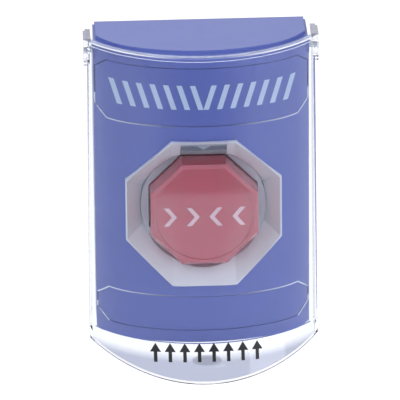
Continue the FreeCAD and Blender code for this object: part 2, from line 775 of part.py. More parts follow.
def make_collar():
    """The round collar that stands in the well and guides the button."""
    ring = cylinder("collar_ring", "sizes.well_diameter / 2 - sizes.collar_gap",
                    "sizes.collar_face - sizes.well_floor", "y", "0", "-sizes.collar_face", CENTRE)
    mouth = octagon("collar_mouth", "sizes.button_across_flats + 2 * sizes.collar_button_gap", THROUGH, FAR)
    return cut("button_collar", ring, mouth)


def polygon(sketch, alias, inset=None):
    """Eight equal lines round the sketch's origin, flat at the bottom."""
    sides = 8
    half = "(sizes.%s / 2%s)" % (alias, " - sizes.%s" % inset if inset else "")
    radius = (size(alias) / 2 - (size(inset) if inset else 0)) / math.cos(math.pi / sides)
    first = sketch.GeometryCount
    points = []
    for index in range(sides):
        angle = (index - 0.5) * 2 * math.pi / sides - math.pi / 2
        points.append(V(radius * math.cos(angle), radius * math.sin(angle), 0))
    for index in range(sides):
        sketch.addGeometry(Part.LineSegment(points[index], points[(index + 1) % sides]))
    ring = sketch.addGeometry(Part.Circle(V(0, 0, 0), V(0, 0, 1), radius), True)
    sketch.addConstraint(Sketcher.Constraint("Coincident", ring, 3, -1, 1))
    for index in range(sides):
        following = first + (index + 1) % sides
        sketch.addConstraint(Sketcher.Constraint("Coincident", first + index, 2, following, 1))
        sketch.addConstraint(Sketcher.Constraint("PointOnObject", first + index, 1, ring))
        if index:
            sketch.addConstraint(Sketcher.Constraint("Equal", first, first + index))
    sketch.addConstraint(Sketcher.Constraint("Horizontal", first))
    measure(sketch, "corner_radius_%d" % first, Sketcher.Constraint("Radius", ring, radius),
            "%s / cos(22.5 deg)" % half)


def circle(sketch, radius):
    """A circle round the sketch's origin, its radius a table of alias to factor."""
    number = sketch.addGeometry(Part.Circle(V(0, 0, 0), V(0, 0, 1), amount(radius)))
    sketch.addConstraint(Sketcher.Constraint("Coincident", number, 3, -1, 1))
    measure(sketch, "radius_%d" % number, Sketcher.Constraint("Radius", number, amount(radius)),
            formula(radius))


def new_sketch(body, name, role):
    """An empty sketch on one of a body's own origin planes."""
    sketch = body.newObject("Sketcher::SketchObject", name)
    plane = [item for item in body.Origin.OriginFeatures if item.Role == role][0]
    sketch.AttachmentSupport = [(plane, "")]
    sketch.MapMode = "FlatFace"
    return sketch


def pocket(body, name, sketch, depth):
    """Cut a sketch into a body, from its plane towards the solid."""
    before = body.Shape.Volume
    feature = body.newObject("PartDesign::Pocket", name)
    feature.Profile = sketch
    feature.Reversed = True
    bind(feature, Length=depth)
    DOCUMENT.recompute()
    if not body.Shape.Volume < before:
        raise RuntimeError(name + " cuts nothing")
    return feature


def make_button_cap():
    """The hollow eight-sided button: bevelled face, shallow round dish and a socket for the stem."""
    body = DOCUMENT.addObject("PartDesign::Body", "button_cap")
    face = new_sketch(body, "cap_face", "XZ_Plane")
    polygon(face, "button_across_flats")
    skirt = body.newObject("PartDesign::Pad", "cap_skirt")
    skirt.Profile = face
    bind(skirt, Length="sizes.button_length")
    DOCUMENT.recompute()
    front = ["Edge%d" % number for number, edge in enumerate(skirt.Shape.Edges, start=1)
             if edge.BoundBox.YMax < -size("button_length") + 0.001]
    bevel = body.newObject("PartDesign::Chamfer", "cap_bevel")
    bevel.Base = (skirt, front)
    bind(bevel, Size="sizes.button_bevel")
    DOCUMENT.recompute()
    rim = new_sketch(body, "cap_rim_outline", "XZ_Plane")
    polygon(rim, "button_across_flats", "button_wall")
    pocket(body, "cap_rim_hollow", rim, "sizes.button_length - sizes.button_wall - sizes.socket_length")
    ring = new_sketch(body, "cap_hollow_outline", "XZ_Plane")
    polygon(ring, "button_across_flats", "button_wall")
    circle(ring, {"socket_diameter": 0.5})
    pocket(body, "cap_hollow", ring, "sizes.button_length - sizes.button_wall")
    socket = new_sketch(body, "cap_socket_outline", "XZ_Plane")
    circle(socket, {"stem_diameter": 0.5, "socket_gap": 1})
    pocket(body, "cap_socket", socket, "sizes.button_length - sizes.button_wall")
    pilot = new_sketch(body, "cap_pilot_outline", "XZ_Plane")
    circle(pilot, {"cap_screw_diameter": 0.5})
    pocket(body, "cap_pilot", pilot, "sizes.button_length - sizes.button_wall + sizes.cap_screw_bite")
    dish = new_sketch(body, "cap_dish_outline", "XZ_Plane")
    circle(dish, {"button_dish_diameter": 0.5})
    dish.setExpression("AttachmentOffset.Base.z", "sizes.button_length")
    press_face = body.newObject("PartDesign::Pocket", "cap_dish")
    press_face.Profile = dish
    bind(press_face, Length="sizes.button_dish_depth")
    DOCUMENT.recompute()
    place(body, "0", "sizes.button_length - sizes.button_face", CENTRE)
    return body


PUSHER_BACK = "(sizes.pusher_thickness + sizes.pusher_stop_gap - sizes.guide_end)"
BLOCK_FRONT = "(sizes.bracket_thickness - sizes.bracket_front)"
STRIP_BACK = "(sizes.contact_gap + sizes.strip_thickness + sizes.button_travel" \
             " + sizes.bridge_thickness - sizes.bridge_rest)"


def make_button_plunger():
    """The stem with its cross bar, which pushes both contact sliders."""
    stem = cylinder("plunger_stem", "sizes.stem_diameter / 2",
                    "sizes.button_face - sizes.button_wall - sizes.stem_end_gap + %s" % PUSHER_BACK,
                    "y", "0", "-(sizes.button_face - sizes.button_wall - sizes.stem_end_gap)", CENTRE)
    bar = block("plunger_bar", "sizes.pusher_length", "sizes.pusher_thickness", "sizes.pusher_height",
                "0", PUSHER_BACK + " - sizes.pusher_thickness", CENTRE)
    bore = cylinder("plunger_bore", "sizes.cap_screw_diameter / 2 + sizes.screw_gap", THROUGH, "y",
                    "0", FAR, CENTRE)
    head = cylinder("plunger_recess", "sizes.cap_screw_head / 2 + sizes.screw_gap",
                    "sizes.cap_screw_head_height + 1", "y",
                    "0", PUSHER_BACK + " - sizes.cap_screw_head_height", CENTRE)
    return cut("button_plunger", join("plunger_blank", stem, bar), bore, head)


def coil_points():
    """Points along the centre line of the return spring's coil, from its seat to the button."""
    first = size("spring_seat") + size("spring_end_gap") + size("spring_wire") / 2
    last = size("button_face") - size("button_wall") - size("spring_end_gap") - size("spring_wire") / 2
    radius = size("spring_diameter") / 2
    steps = int(size("spring_turns") * size("spring_steps"))
    points = []
    for step in range(steps + 1):
        angle = 2 * math.pi * step / size("spring_steps")
        points.append(V(radius * math.cos(angle), -first - (last - first) * step / steps,
                        size("button_height") + radius * math.sin(angle)))
    return points


def make_return_spring():
    """The coil spring between its seat in the well and the inside of the button."""
    points = coil_points()
    line = DOCUMENT.addObject("Part::Feature", "spring_line")
    line.Shape = Part.makePolygon(points)
    section = DOCUMENT.addObject("Part::Circle", "spring_section")
    section.Placement = FreeCAD.Placement(points[0], FreeCAD.Rotation(V(0, 0, 1), points[1] - points[0]))
    bind(section, Radius="sizes.spring_wire / 2")
    spring = DOCUMENT.addObject("Part::Sweep", "return_spring")
    spring.Sections = [section]
    spring.Spine = (line, [])
    spring.Solid = True
    spring.Transition = "Right corner"
    return spring


def make_led_board():
    """The small circuit board on its two bosses behind the upper label field."""
    board = block("board_blank", "sizes.board_width", "sizes.board_thickness", "sizes.board_height",
                  "0", "-sizes.board_face", "sizes.board_centre")
    holes = [cylinder("board_hole_%d" % number, "sizes.small_screw_diameter / 2 + sizes.screw_gap", THROUGH,
                      "y", side + "sizes.board_screw_pitch / 2", FAR, "sizes.board_centre")
             for number, side in enumerate(("-", ""), start=1)]
    return cut("led_board", board, *holes)


def make_led():
    """The lamp on the board's lower edge, with its lens towards the light slot."""
    low = "sizes.board_centre - sizes.board_height / 2"
    case = block("led_case", "sizes.led_width", "sizes.led_depth", "sizes.led_height",
                 "0", "-sizes.board_face - sizes.led_depth", low + " + sizes.led_height / 2")
    lens = cylinder("led_lens", "sizes.lens_diameter / 2", "sizes.lens_length + 1", "z",
                    "0", "-sizes.board_face - sizes.led_depth / 2", low + " - sizes.lens_length")
    return join("indicator_led", case, lens)


def make_bracket():
    """The cross plate on the bezel's four posts, which carries both contact blocks."""
    plate = rounded_block("bracket_blank", "sizes.bracket_width", "sizes.bracket_thickness",
                          "sizes.bracket_height", "bracket_corner", "0", "-sizes.bracket_front", CENTRE)
    post_hole = "sizes.long_screw_diameter / 2 + sizes.screw_gap"
    block_hole = "sizes.small_screw_diameter / 2 + sizes.screw_gap"
    tools = []
    number = 0
    for side in ("-", ""):
        tools.append(block("bracket_window_left" if side else "bracket_window_right",
                           "sizes.slider_size + 2 * sizes.slider_gap", THROUGH,
                           "sizes.slider_size + 2 * sizes.slider_gap",
                           side + "sizes.block_offset", FAR, CENTRE))
        for rise in (" - ", " + "):
            number += 1
            tools.append(cylinder("bracket_hole_%d" % number, post_hole, THROUGH, "y",
                                  side + "sizes.post_pitch_x / 2", FAR,
                                  CENTRE + rise + "sizes.post_pitch_z / 2"))
            tools.append(cylinder("bracket_block_hole_%d" % number, block_hole, THROUGH, "y",
                                  side + "sizes.block_offset" + rise + "sizes.block_screw_offset", FAR,
                                  CENTRE + rise + "sizes.block_screw_pitch / 2"))
    return cut("contact_bracket", plate, *tools)


def make_block_set(side, sign):
    """One contact block with its slider, bridge, strips and terminal screws."""
    at = sign + "sizes.block_offset"
    body = block("block_blank_" + side, "sizes.block_width", "-%s - sizes.block_back" % BLOCK_FRONT,
                 "sizes.block_length", at, BLOCK_FRONT, CENTRE)
    window = "sizes.slider_size + 2 * sizes.slider_gap"
    tools = [
        block("block_window_" + side, window, "sizes.block_face + 2", window, at,
              BLOCK_FRONT + " - 1", CENTRE),
        block("block_cavity_" + side, "sizes.block_cavity_width",
              "-%s - sizes.block_face - sizes.block_back - sizes.block_floor" % BLOCK_FRONT,
              "sizes.bridge_length + 2 * sizes.bridge_gap", at, BLOCK_FRONT + " + sizes.block_face", CENTRE),
    ]
    strips = []
    screws = []
    for number, rise in enumerate((" - ", " + "), start=1):
        tag = "%s_%d" % (side, number)
        tools.append(block("terminal_land_" + tag, "sizes.block_width + 2", "sizes.block_floor + 2",
                           "2 * sizes.block_terminal_length", at, STRIP_BACK,
                           CENTRE + rise + "sizes.block_length / 2"))
        middle = "%s%s(sizes.strip_inner + sizes.block_length / 2 - sizes.strip_end_gap) / 2" % (CENTRE, rise)
        length = "(sizes.block_length / 2 - sizes.strip_end_gap - sizes.strip_inner)"
        tools.append(block("strip_slot_" + tag, "sizes.strip_width + 2 * sizes.slider_gap",
                           "sizes.strip_thickness + 2 * sizes.slider_gap",
                           length + " + 2 * sizes.slider_gap", at,
                           STRIP_BACK + " - sizes.strip_thickness - sizes.slider_gap", middle))
        spot = CENTRE + rise + "sizes.terminal_pitch / 2"
        tools.append(cylinder("terminal_pilot_" + tag, "sizes.terminal_screw_diameter / 2",
                              "sizes.terminal_screw_length", "y", at,
                              STRIP_BACK + " - sizes.terminal_screw_length", spot))
        strip = block("strip_blank_" + tag, "sizes.strip_width", "sizes.strip_thickness", length, at,
                      STRIP_BACK + " - sizes.strip_thickness", middle)
        hole = cylinder("strip_hole_" + tag, "sizes.terminal_screw_diameter / 2 + sizes.screw_gap",
                        THROUGH, "y", at, FAR, spot)
        strips.append(cut("strip_" + tag, strip, hole))
        screws.append((at, STRIP_BACK, spot))
        tools.append(cylinder("block_pilot_" + tag, "sizes.small_screw_diameter / 2",
                              "sizes.block_screw_length", "y",
                              "%s %s sizes.block_screw_offset" % (at, rise),
                              "-sizes.bracket_front", CENTRE + rise + "sizes.block_screw_pitch / 2"))
    made = [cut("contact_block_" + side, body, *tools), group("contact_strips_" + side, *strips)]
    made.append(screw_set("terminal_screws_" + side, screws, "sizes.terminal_screw_diameter / 2",
                          "sizes.terminal_screw_length", "sizes.terminal_head_diameter / 2",
                          "sizes.terminal_head_height", (-1, "y")))
    bar = block("slider_bar_" + side, "sizes.slider_size",
                "-%s - sizes.slider_lead - sizes.slider_back" % PUSHER_BACK, "sizes.slider_size", at,
                PUSHER_BACK + " + sizes.slider_lead", CENTRE)
    slot = block("slider_slot_" + side, "sizes.bridge_width + 2 * sizes.slider_gap",
                 "sizes.bridge_thickness + 2 * sizes.slider_gap", "sizes.bridge_length", at,
                 "-sizes.bridge_rest - sizes.slider_gap", CENTRE)
    made.append(cut("contact_slider_" + side, bar, slot))
    made.append(block("contact_bridge_" + side, "sizes.bridge_width", "sizes.bridge_thickness",
                      "sizes.bridge_length", at, "-sizes.bridge_rest", CENTRE))
    return made


def slot_hole(name, x, z, long_axis):
    """A round-ended fixing slot through the back plate."""
    run = "(sizes.slot_length - sizes.slot_width)"
    parts = []
    for number, sign in enumerate(("-", "+"), start=1):
        spot = [x, z]
        spot["xz".index(long_axis)] += " %s %s / 2" % (sign, run)
        parts.append(cylinder("%s_end_%d" % (name, number), "sizes.slot_width / 2", THROUGH, "y",
                              spot[0], FAR, spot[1]))
    spans = [run, "sizes.slot_width"]
    if long_axis == "z":
        spans.reverse()
    parts.append(block(name + "_middle", spans[0], THROUGH, spans[1], x, FAR, z))
    return join(name, *parts)


PLATE_WIDTH = "(sizes.housing_width - 2 * sizes.housing_wall - 2 * sizes.plate_gap)"
PLATE_BOTTOM = "(sizes.housing_wall + sizes.plate_gap - sizes.housing_height / 2)"
PLATE_TOP = "(sizes.housing_height / 2 - sizes.top_wall - sizes.plate_gap)"


def make_back_plate():
    """The plate on the wall: fixing slots, cable opening, hooks, screw lugs and side ribs."""
    height = "(%s - %s)" % (PLATE_TOP, PLATE_BOTTOM)
    middle = "(%s + %s) / 2" % (PLATE_TOP, PLATE_BOTTOM)
    parts = [rounded_block("plate_sheet", PLATE_WIDTH, "sizes.plate_thickness", height,
                           "plate_corner", "0", "-sizes.plate_thickness", middle)]
    tools = [rounded_block("cable_opening", "sizes.cable_opening_width", "3 * sizes.plate_thickness",
                           "sizes.cable_opening_height", "cable_opening_corner", "0",
                           "-2 * sizes.plate_thickness", CENTRE)]
    hook_top = "(sizes.housing_height / 2 - sizes.top_wall + sizes.hook_rise)"
    for number, side in enumerate(("-", ""), start=1):
        parts.append(block("plate_hook_%d" % number, "sizes.hook_width", "sizes.hook_depth",
                           "sizes.hook_length", side + "sizes.hook_offset",
                           "-sizes.plate_thickness - sizes.hook_depth",
                           hook_top + " - sizes.hook_length / 2"))
        parts.append(block("plate_lug_%d" % number, "sizes.lug_width", "sizes.lug_depth",
                           "sizes.lug_height", side + "sizes.lug_offset",
                           "-sizes.plate_thickness - sizes.lug_depth",
                           PLATE_BOTTOM + " + sizes.lug_height / 2"))
        parts.append(block("plate_rib_%d" % number, "sizes.plate_rib", "sizes.plate_rib_height",
                           height + " - 2 * (sizes.lug_height + sizes.plate_corner)",
                           "%s(%s - sizes.plate_rib) / 2" % (side, PLATE_WIDTH),
                           "-sizes.plate_thickness - sizes.plate_rib_height", middle))
        tools.append(cylinder("lug_pilot_%d" % number, "sizes.long_screw_diameter / 2",
                              "sizes.lug_height + 2", "z", side + "sizes.lug_offset",
                              "-sizes.lug_screw_depth", PLATE_BOTTOM + " - 1"))
        tools.append(slot_hole("tall_slot_%d" % number, "0", side + "sizes.tall_slot_pitch / 2", "z"))
        tools.append(slot_hole("wide_slot_%d" % number, side + "sizes.wide_slot_pitch / 2", "0", "x"))
    return cut("back_plate", join("plate_blank", *parts), *tools)


def shield_skin(name, inset, back):
    """The shield's flared form between its top, its hem and the end of its lip.

    inset is a table of alias to factor that shrinks every section.
    """
    sections = []
    for label, flare, depth, level in (
        ("top", {}, "shield_top_depth", HALF_HEIGHT + " + sizes.shield_rise"),
        ("hem", {"shield_flare": 1}, "shield_hem_depth", "sizes.shield_hem_level"),
        ("end", {"shield_flare": 1}, "shield_lip_depth", "sizes.shield_end_level"),
    ):
        width = {"shield_width": 0.5, **flare, **inset}
        sections.append(d_section("%s_%s" % (name, label), width, {"shield_bow_radius": 1, **inset},
                                  {depth: 1, **inset}, back, level))
    skin = DOCUMENT.addObject("Part::Loft", name)
    skin.Sections = sections
    skin.Solid = True
    skin.Ruled = True
    return skin


def make_ear(name, start):
    """A rounded plate at the shield's top corner that turns on the hinge pin."""
    plain = DOCUMENT.addObject("Part::Box", name + "_blank")
    bind(plain, Length="sizes.ear_thickness", Width="sizes.ear_length", Height="sizes.ear_height")
    place(plain, start, "-sizes.shield_back - sizes.ear_length",
          HALF_HEIGHT + " + sizes.shield_rise - sizes.ear_height")
    bottom = size("housing_height") / 2 + size("shield_rise") - size("ear_height")
    return rounded(name, plain, "x", "ear_rounding", lambda edge: edge.CenterOfMass.z < bottom + 0.001
                   or edge.CenterOfMass.y > -size("shield_back") - 0.001)


def make_dimple():
    """The shallow oval thumb dimple in the front of the lip."""
    run = size("shield_hem_level") - size("shield_end_level")
    flare = size("shield_lip_depth") - size("shield_hem_depth")
    lean = math.degrees(math.atan2(flare, run))
    thing = DOCUMENT.addObject("Part::Ellipsoid", "thumb_dimple")
    thing.Placement = FreeCAD.Placement(V(0, 0, 0), FreeCAD.Rotation(V(1, 0, 0), 90 - lean))
    bind(thing, Radius1="sizes.dimple_curve", Radius2="sizes.dimple_half_width",
         Radius3="sizes.dimple_half_height")
    slope = "(sizes.shield_lip_depth - sizes.shield_hem_depth)" \
            " / (sizes.shield_hem_level - sizes.shield_end_level)"
    ahead = "(sizes.dimple_curve - sizes.dimple_depth)"
    place(thing, "0",
          "-sizes.shield_hem_depth - (sizes.shield_hem_level - sizes.dimple_level) * %s"
          " - %s * cos(atan(%s))" % (slope, ahead, slope),
          "sizes.dimple_level - %s * sin(atan(%s))" % (ahead, slope))
    return thing


def make_shield():
    """The clear shield: bowed front, side walls, rim bead, hinge ears and a flared lift lip."""
    outer = shield_skin("shield_outer", {}, {"shield_back": -1})
    rise = "(sizes.lip_side_level - sizes.lip_tip_level)"
    half = "(sizes.shield_width / 2 + sizes.shield_flare)"
    radius = "((%s * %s + %s * %s) / (2 * %s))" % (half, half, rise, rise, rise)
    trim = cylinder("lip_outline", radius, "2 * sizes.shield_lip_depth", "y", "0",
                    "-2 * sizes.shield_lip_depth", "sizes.lip_tip_level + " + radius)
    outline = {"rim_bead_reach": 1}
    bead = extrude("rim_bead", d_section("rim_bead_outline", {"shield_width": 0.5, **outline},
                                         {"shield_bow_radius": 1, **outline},
                                         {"shield_top_depth": 1, **outline}, {"shield_back": -1}, "0"),
                   "sizes.rim_bead_height", HALF_HEIGHT + " + sizes.shield_rise - sizes.rim_bead_height")
    inner_face = "(sizes.shield_width / 2 - sizes.shield_wall)"
    right = make_ear("ear_right", inner_face)
    left = make_ear("ear_left", "-%s - sizes.ear_thickness" % inner_face)
    inner = shield_skin("shield_inner", {"shield_wall": -1}, {"shield_back": 1})
    bore = cylinder("ear_bore", "sizes.hinge_pin_diameter / 2 + sizes.hinge_gap",
                    "sizes.shield_width + 4 * sizes.ear_thickness", "x",
                    "-sizes.shield_width / 2 - 2 * sizes.ear_thickness", AXIS_Y, AXIS_Z)
    trimmed = common("shield_trimmed", outer, trim)
    blank = join("shield_blank", trimmed, bead, left, right)
    return cut("shield", blank, inner, bore, make_dimple())


def make_hinge_pins():
    """The two short pins that hold the shield's ears to the housing."""
    end = "(sizes.shield_width / 2 - sizes.shield_wall + sizes.ear_thickness - sizes.hinge_end_gap)"
    return [cylinder("hinge_pin_left", "sizes.hinge_pin_diameter / 2", "sizes.hinge_pin_length",
                     "x", "-" + end, AXIS_Y, AXIS_Z),
            cylinder("hinge_pin_right", "sizes.hinge_pin_diameter / 2", "sizes.hinge_pin_length",
                     "x", end + " - sizes.hinge_pin_length", AXIS_Y, AXIS_Z)]


def make_screws():
    """Every set of identical screws, one set to a node."""
    sides = ("-", "")
    rises = (" - ", " + ")
    posts = [(side + "sizes.post_pitch_x / 2", BLOCK_FRONT, CENTRE + rise + "sizes.post_pitch_z / 2")
             for side in sides for rise in rises]
    blocks = [(side + "sizes.block_offset" + rise + "sizes.block_screw_offset", "-sizes.bracket_front",
               CENTRE + rise + "sizes.block_screw_pitch / 2") for side in sides for rise in rises]
    board = [(side + "sizes.board_screw_pitch / 2", "-sizes.board_face + sizes.board_thickness",
              "sizes.board_centre") for side in sides]
    feet = [(side + "sizes.lug_offset", "-sizes.lug_screw_depth",
             "-%s + sizes.screw_recess" % HALF_HEIGHT) for side in sides]
    cap_length = "sizes.button_face - sizes.button_wall + sizes.cap_screw_bite" \
                 " - sizes.cap_screw_head_height + " + PUSHER_BACK
    return [
        screw_set("bezel_screws", posts, "sizes.long_screw_diameter / 2",
                  "sizes.bracket_thickness + sizes.post_screw_bite", "sizes.long_head_diameter / 2",
                  "sizes.long_head_height", (-1, "y")),
        screw_set("block_screws", blocks, "sizes.small_screw_diameter / 2", "sizes.block_screw_length",
                  "sizes.small_head_diameter / 2", "sizes.small_head_height", (1, "y")),
        screw_set("board_screws", board, "sizes.small_screw_diameter / 2",
                  "sizes.board_thickness + sizes.board_screw_bite", "sizes.small_head_diameter / 2",
                  "sizes.small_head_height", (-1, "y")),
        screw_set("housing_screws", feet, "sizes.long_screw_diameter / 2", "sizes.lug_screw_length",
                  "sizes.long_head_diameter / 2", "sizes.small_head_height", (1, "z")),
        screw_set("cap_screw", [("0", PUSHER_BACK + " - sizes.cap_screw_head_height", CENTRE)],
                  "sizes.cap_screw_diameter / 2", cap_length, "sizes.cap_screw_head / 2",
                  "sizes.cap_screw_head_height", (-1, "y")),
    ]


def make_all():
    """Every separate piece of the station."""
    return [
        make_housing(),
        make_label("label_plate_upper", "upper_label_bottom", "upper_label_height"),
        make_label("label_plate_lower", "lower_label_bottom", "lower_label_height"),
        make_bezel(),
        make_collar(),
        make_button_cap(),
        make_button_plunger(),
        make_return_spring(),
        window_block("indicator_window"),
        make_led_board(),
        make_led(),
        make_bracket(),
        *make_block_set("left", "-"),
        *make_block_set("right", ""),
        *make_screws(),
        make_back_plate(),
        make_shield(),
        *make_hinge_pins(),
    ]


def check_model(pieces):
    """Stop if any object failed or any piece has no sound shape."""
    for thing in DOCUMENT.Objects:
        if "Invalid" in thing.State or "Error" in thing.State:
            raise RuntimeError("%s failed: %s" % (thing.Name, thing.State))
    for piece in pieces:
        if piece.Shape.isNull() or not piece.Shape.isValid():
            raise RuntimeError(piece.Label + " has no valid shape")


def export(pieces):
    """Write each piece to its own file."""
    os.makedirs("parts", exist_ok=True)
    for piece in pieces:
        piece.Shape.exportStep("parts/%s.step" % piece.Label)
        box = piece.Shape.BoundBox
        print("%-22s solids %2d volume %8.1f x %6.2f..%6.2f y %6.2f..%6.2f z %6.2f..%6.2f" % (
            piece.Label, len(piece.Shape.Solids), piece.Shape.Volume, box.XMin, box.XMax, box.YMin,
            box.YMax, box.ZMin, box.ZMax))


PIECES = make_all()
DOCUMENT.recompute()
check_model(PIECES)
export(PIECES)
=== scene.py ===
"""Looks of a wall-mounted push station: blue bowed body, red button and clear lift-up shield."""
import json
import logging
import math
from dataclasses import dataclass
from enum import Enum

import bpy
from mathutils import Matrix, Vector


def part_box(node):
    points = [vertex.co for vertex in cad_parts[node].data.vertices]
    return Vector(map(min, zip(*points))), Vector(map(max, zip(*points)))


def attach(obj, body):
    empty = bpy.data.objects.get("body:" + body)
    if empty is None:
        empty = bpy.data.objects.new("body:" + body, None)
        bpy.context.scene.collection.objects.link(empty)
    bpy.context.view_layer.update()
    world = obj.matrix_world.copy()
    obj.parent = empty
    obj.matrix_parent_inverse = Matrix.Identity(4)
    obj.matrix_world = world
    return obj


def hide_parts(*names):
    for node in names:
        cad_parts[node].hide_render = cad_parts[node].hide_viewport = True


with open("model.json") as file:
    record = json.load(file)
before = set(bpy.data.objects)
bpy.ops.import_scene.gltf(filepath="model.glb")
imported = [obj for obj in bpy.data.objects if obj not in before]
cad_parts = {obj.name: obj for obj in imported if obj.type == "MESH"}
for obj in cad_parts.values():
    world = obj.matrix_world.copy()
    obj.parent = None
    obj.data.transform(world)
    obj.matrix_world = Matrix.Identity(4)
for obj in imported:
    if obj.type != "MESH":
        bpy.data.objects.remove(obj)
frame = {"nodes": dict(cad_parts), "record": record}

LOG = logging.getLogger("push_station")
# The scene is in metres. Lengths are written in millimetres where their words don't say metres.
MM = 0.001
PER_METRE = 1000.0
EDGE_SAMPLES = 4
POLISHED_WEAR = 0.2
Colour = tuple[float, float, float]
Socket = bpy.types.NodeSocket


def tone(red: float, green: float, blue: float) -> Colour:
    """Turn a screen colour of 0 to 255 into the linear colour that shaders use.

    Args:
        red: Screen red.
        green: Screen green.
        blue: Screen blue.

    Returns:
        The linear colour.
    """
    def linear(value: float) -> float:
        """Undo the screen's own curve, which is straight near black and a power above."""
        part = value / 255.0
        return part / 12.92 if part <= 0.04045 else ((part + 0.055) / 1.055) ** 2.4

    return linear(red), linear(green), linear(blue)


class Side(Enum):
    """The two sides of the station, or of a line, as signs."""

    LEFT = -1
    RIGHT = 1


def put(name: str, data: bpy.types.ID) -> bpy.types.Object:
    """Put a new object with its mesh, lamp or camera data in the scene.

    Args:
        name: The object's name.
        data: Its data.

    Returns:
        The object.
    """
    thing = bpy.data.objects.new(name, data)
    bpy.context.scene.collection.objects.link(thing)
    return thing


class Graph:
    """A node tree with short calls to add and join nodes."""

    def __init__(self, tree: bpy.types.NodeTree) -> None:
        """Keep the tree to fill."""
        self.tree = tree

    def add(self, kind: str, inputs: dict | None = None, **settings: object) -> bpy.types.Node:
        """Add a node, set its properties, and set or join its inputs.

        Args:
            kind: The node's type.
            inputs: Input name or number to a value, or to a socket to join.
            settings: Properties of the node.

        Returns:
            The node.
        """
        node = self.tree.nodes.new(kind)
        for name, value in settings.items():
            setattr(node, name, value)
        for name, value in (inputs or {}).items():
            self.feed(node, name, value)
        return node

    def feed(self, node: bpy.types.Node, name: str | int, value: object) -> None:
        """Set one input of a node, or join a socket to it.

        Args:
            node: The node.
            name: The input's name or number.
            value: A plain value or an output socket.
        """
        if isinstance(value, Socket):
            self.tree.links.new(value, node.inputs[name])
        else:
            node.inputs[name].default_value = value

    def maths(self, operation: str, first: object, second: object = 0.0) -> Socket:
        """Add a Math node on two values or sockets, and give its result's socket."""
        return self.add("ShaderNodeMath", {0: first, 1: second}, operation=operation).outputs[0]

    def place(self) -> Socket:
        """Give the place on the part, in metres."""
        return self.add("ShaderNodeTexCoord").outputs["Object"]

    def side_and_height(self) -> tuple[Socket, Socket]:
        """Give the distance along X from the part's middle and the height on it, in metres."""
        part = self.add("ShaderNodeSeparateXYZ", {0: self.place()})
        return part.outputs["X"], part.outputs["Z"]


def shader_group(name: str, inputs: dict[str, float], outputs: tuple[str, ...]) -> tuple[Graph, dict]:
    """Start a shader node group with named number inputs and outputs.

    Args:
        name: The group's name.
        inputs: Input name to its first value.
        outputs: Names of the number outputs.

    Returns:
        The group's graph and its input sockets by name.
    """
    tree = bpy.data.node_groups.new(name, "ShaderNodeTree")
    for label, value in inputs.items():
        socket = tree.interface.new_socket(label, in_out="INPUT", socket_type="NodeSocketFloat")
        socket.default_value = value
    for label in outputs:
        tree.interface.new_socket(label, in_out="OUTPUT", socket_type="NodeSocketFloat")
    graph = Graph(tree)
    source = graph.add("NodeGroupInput")
    return graph, {label: source.outputs[label] for label in inputs}


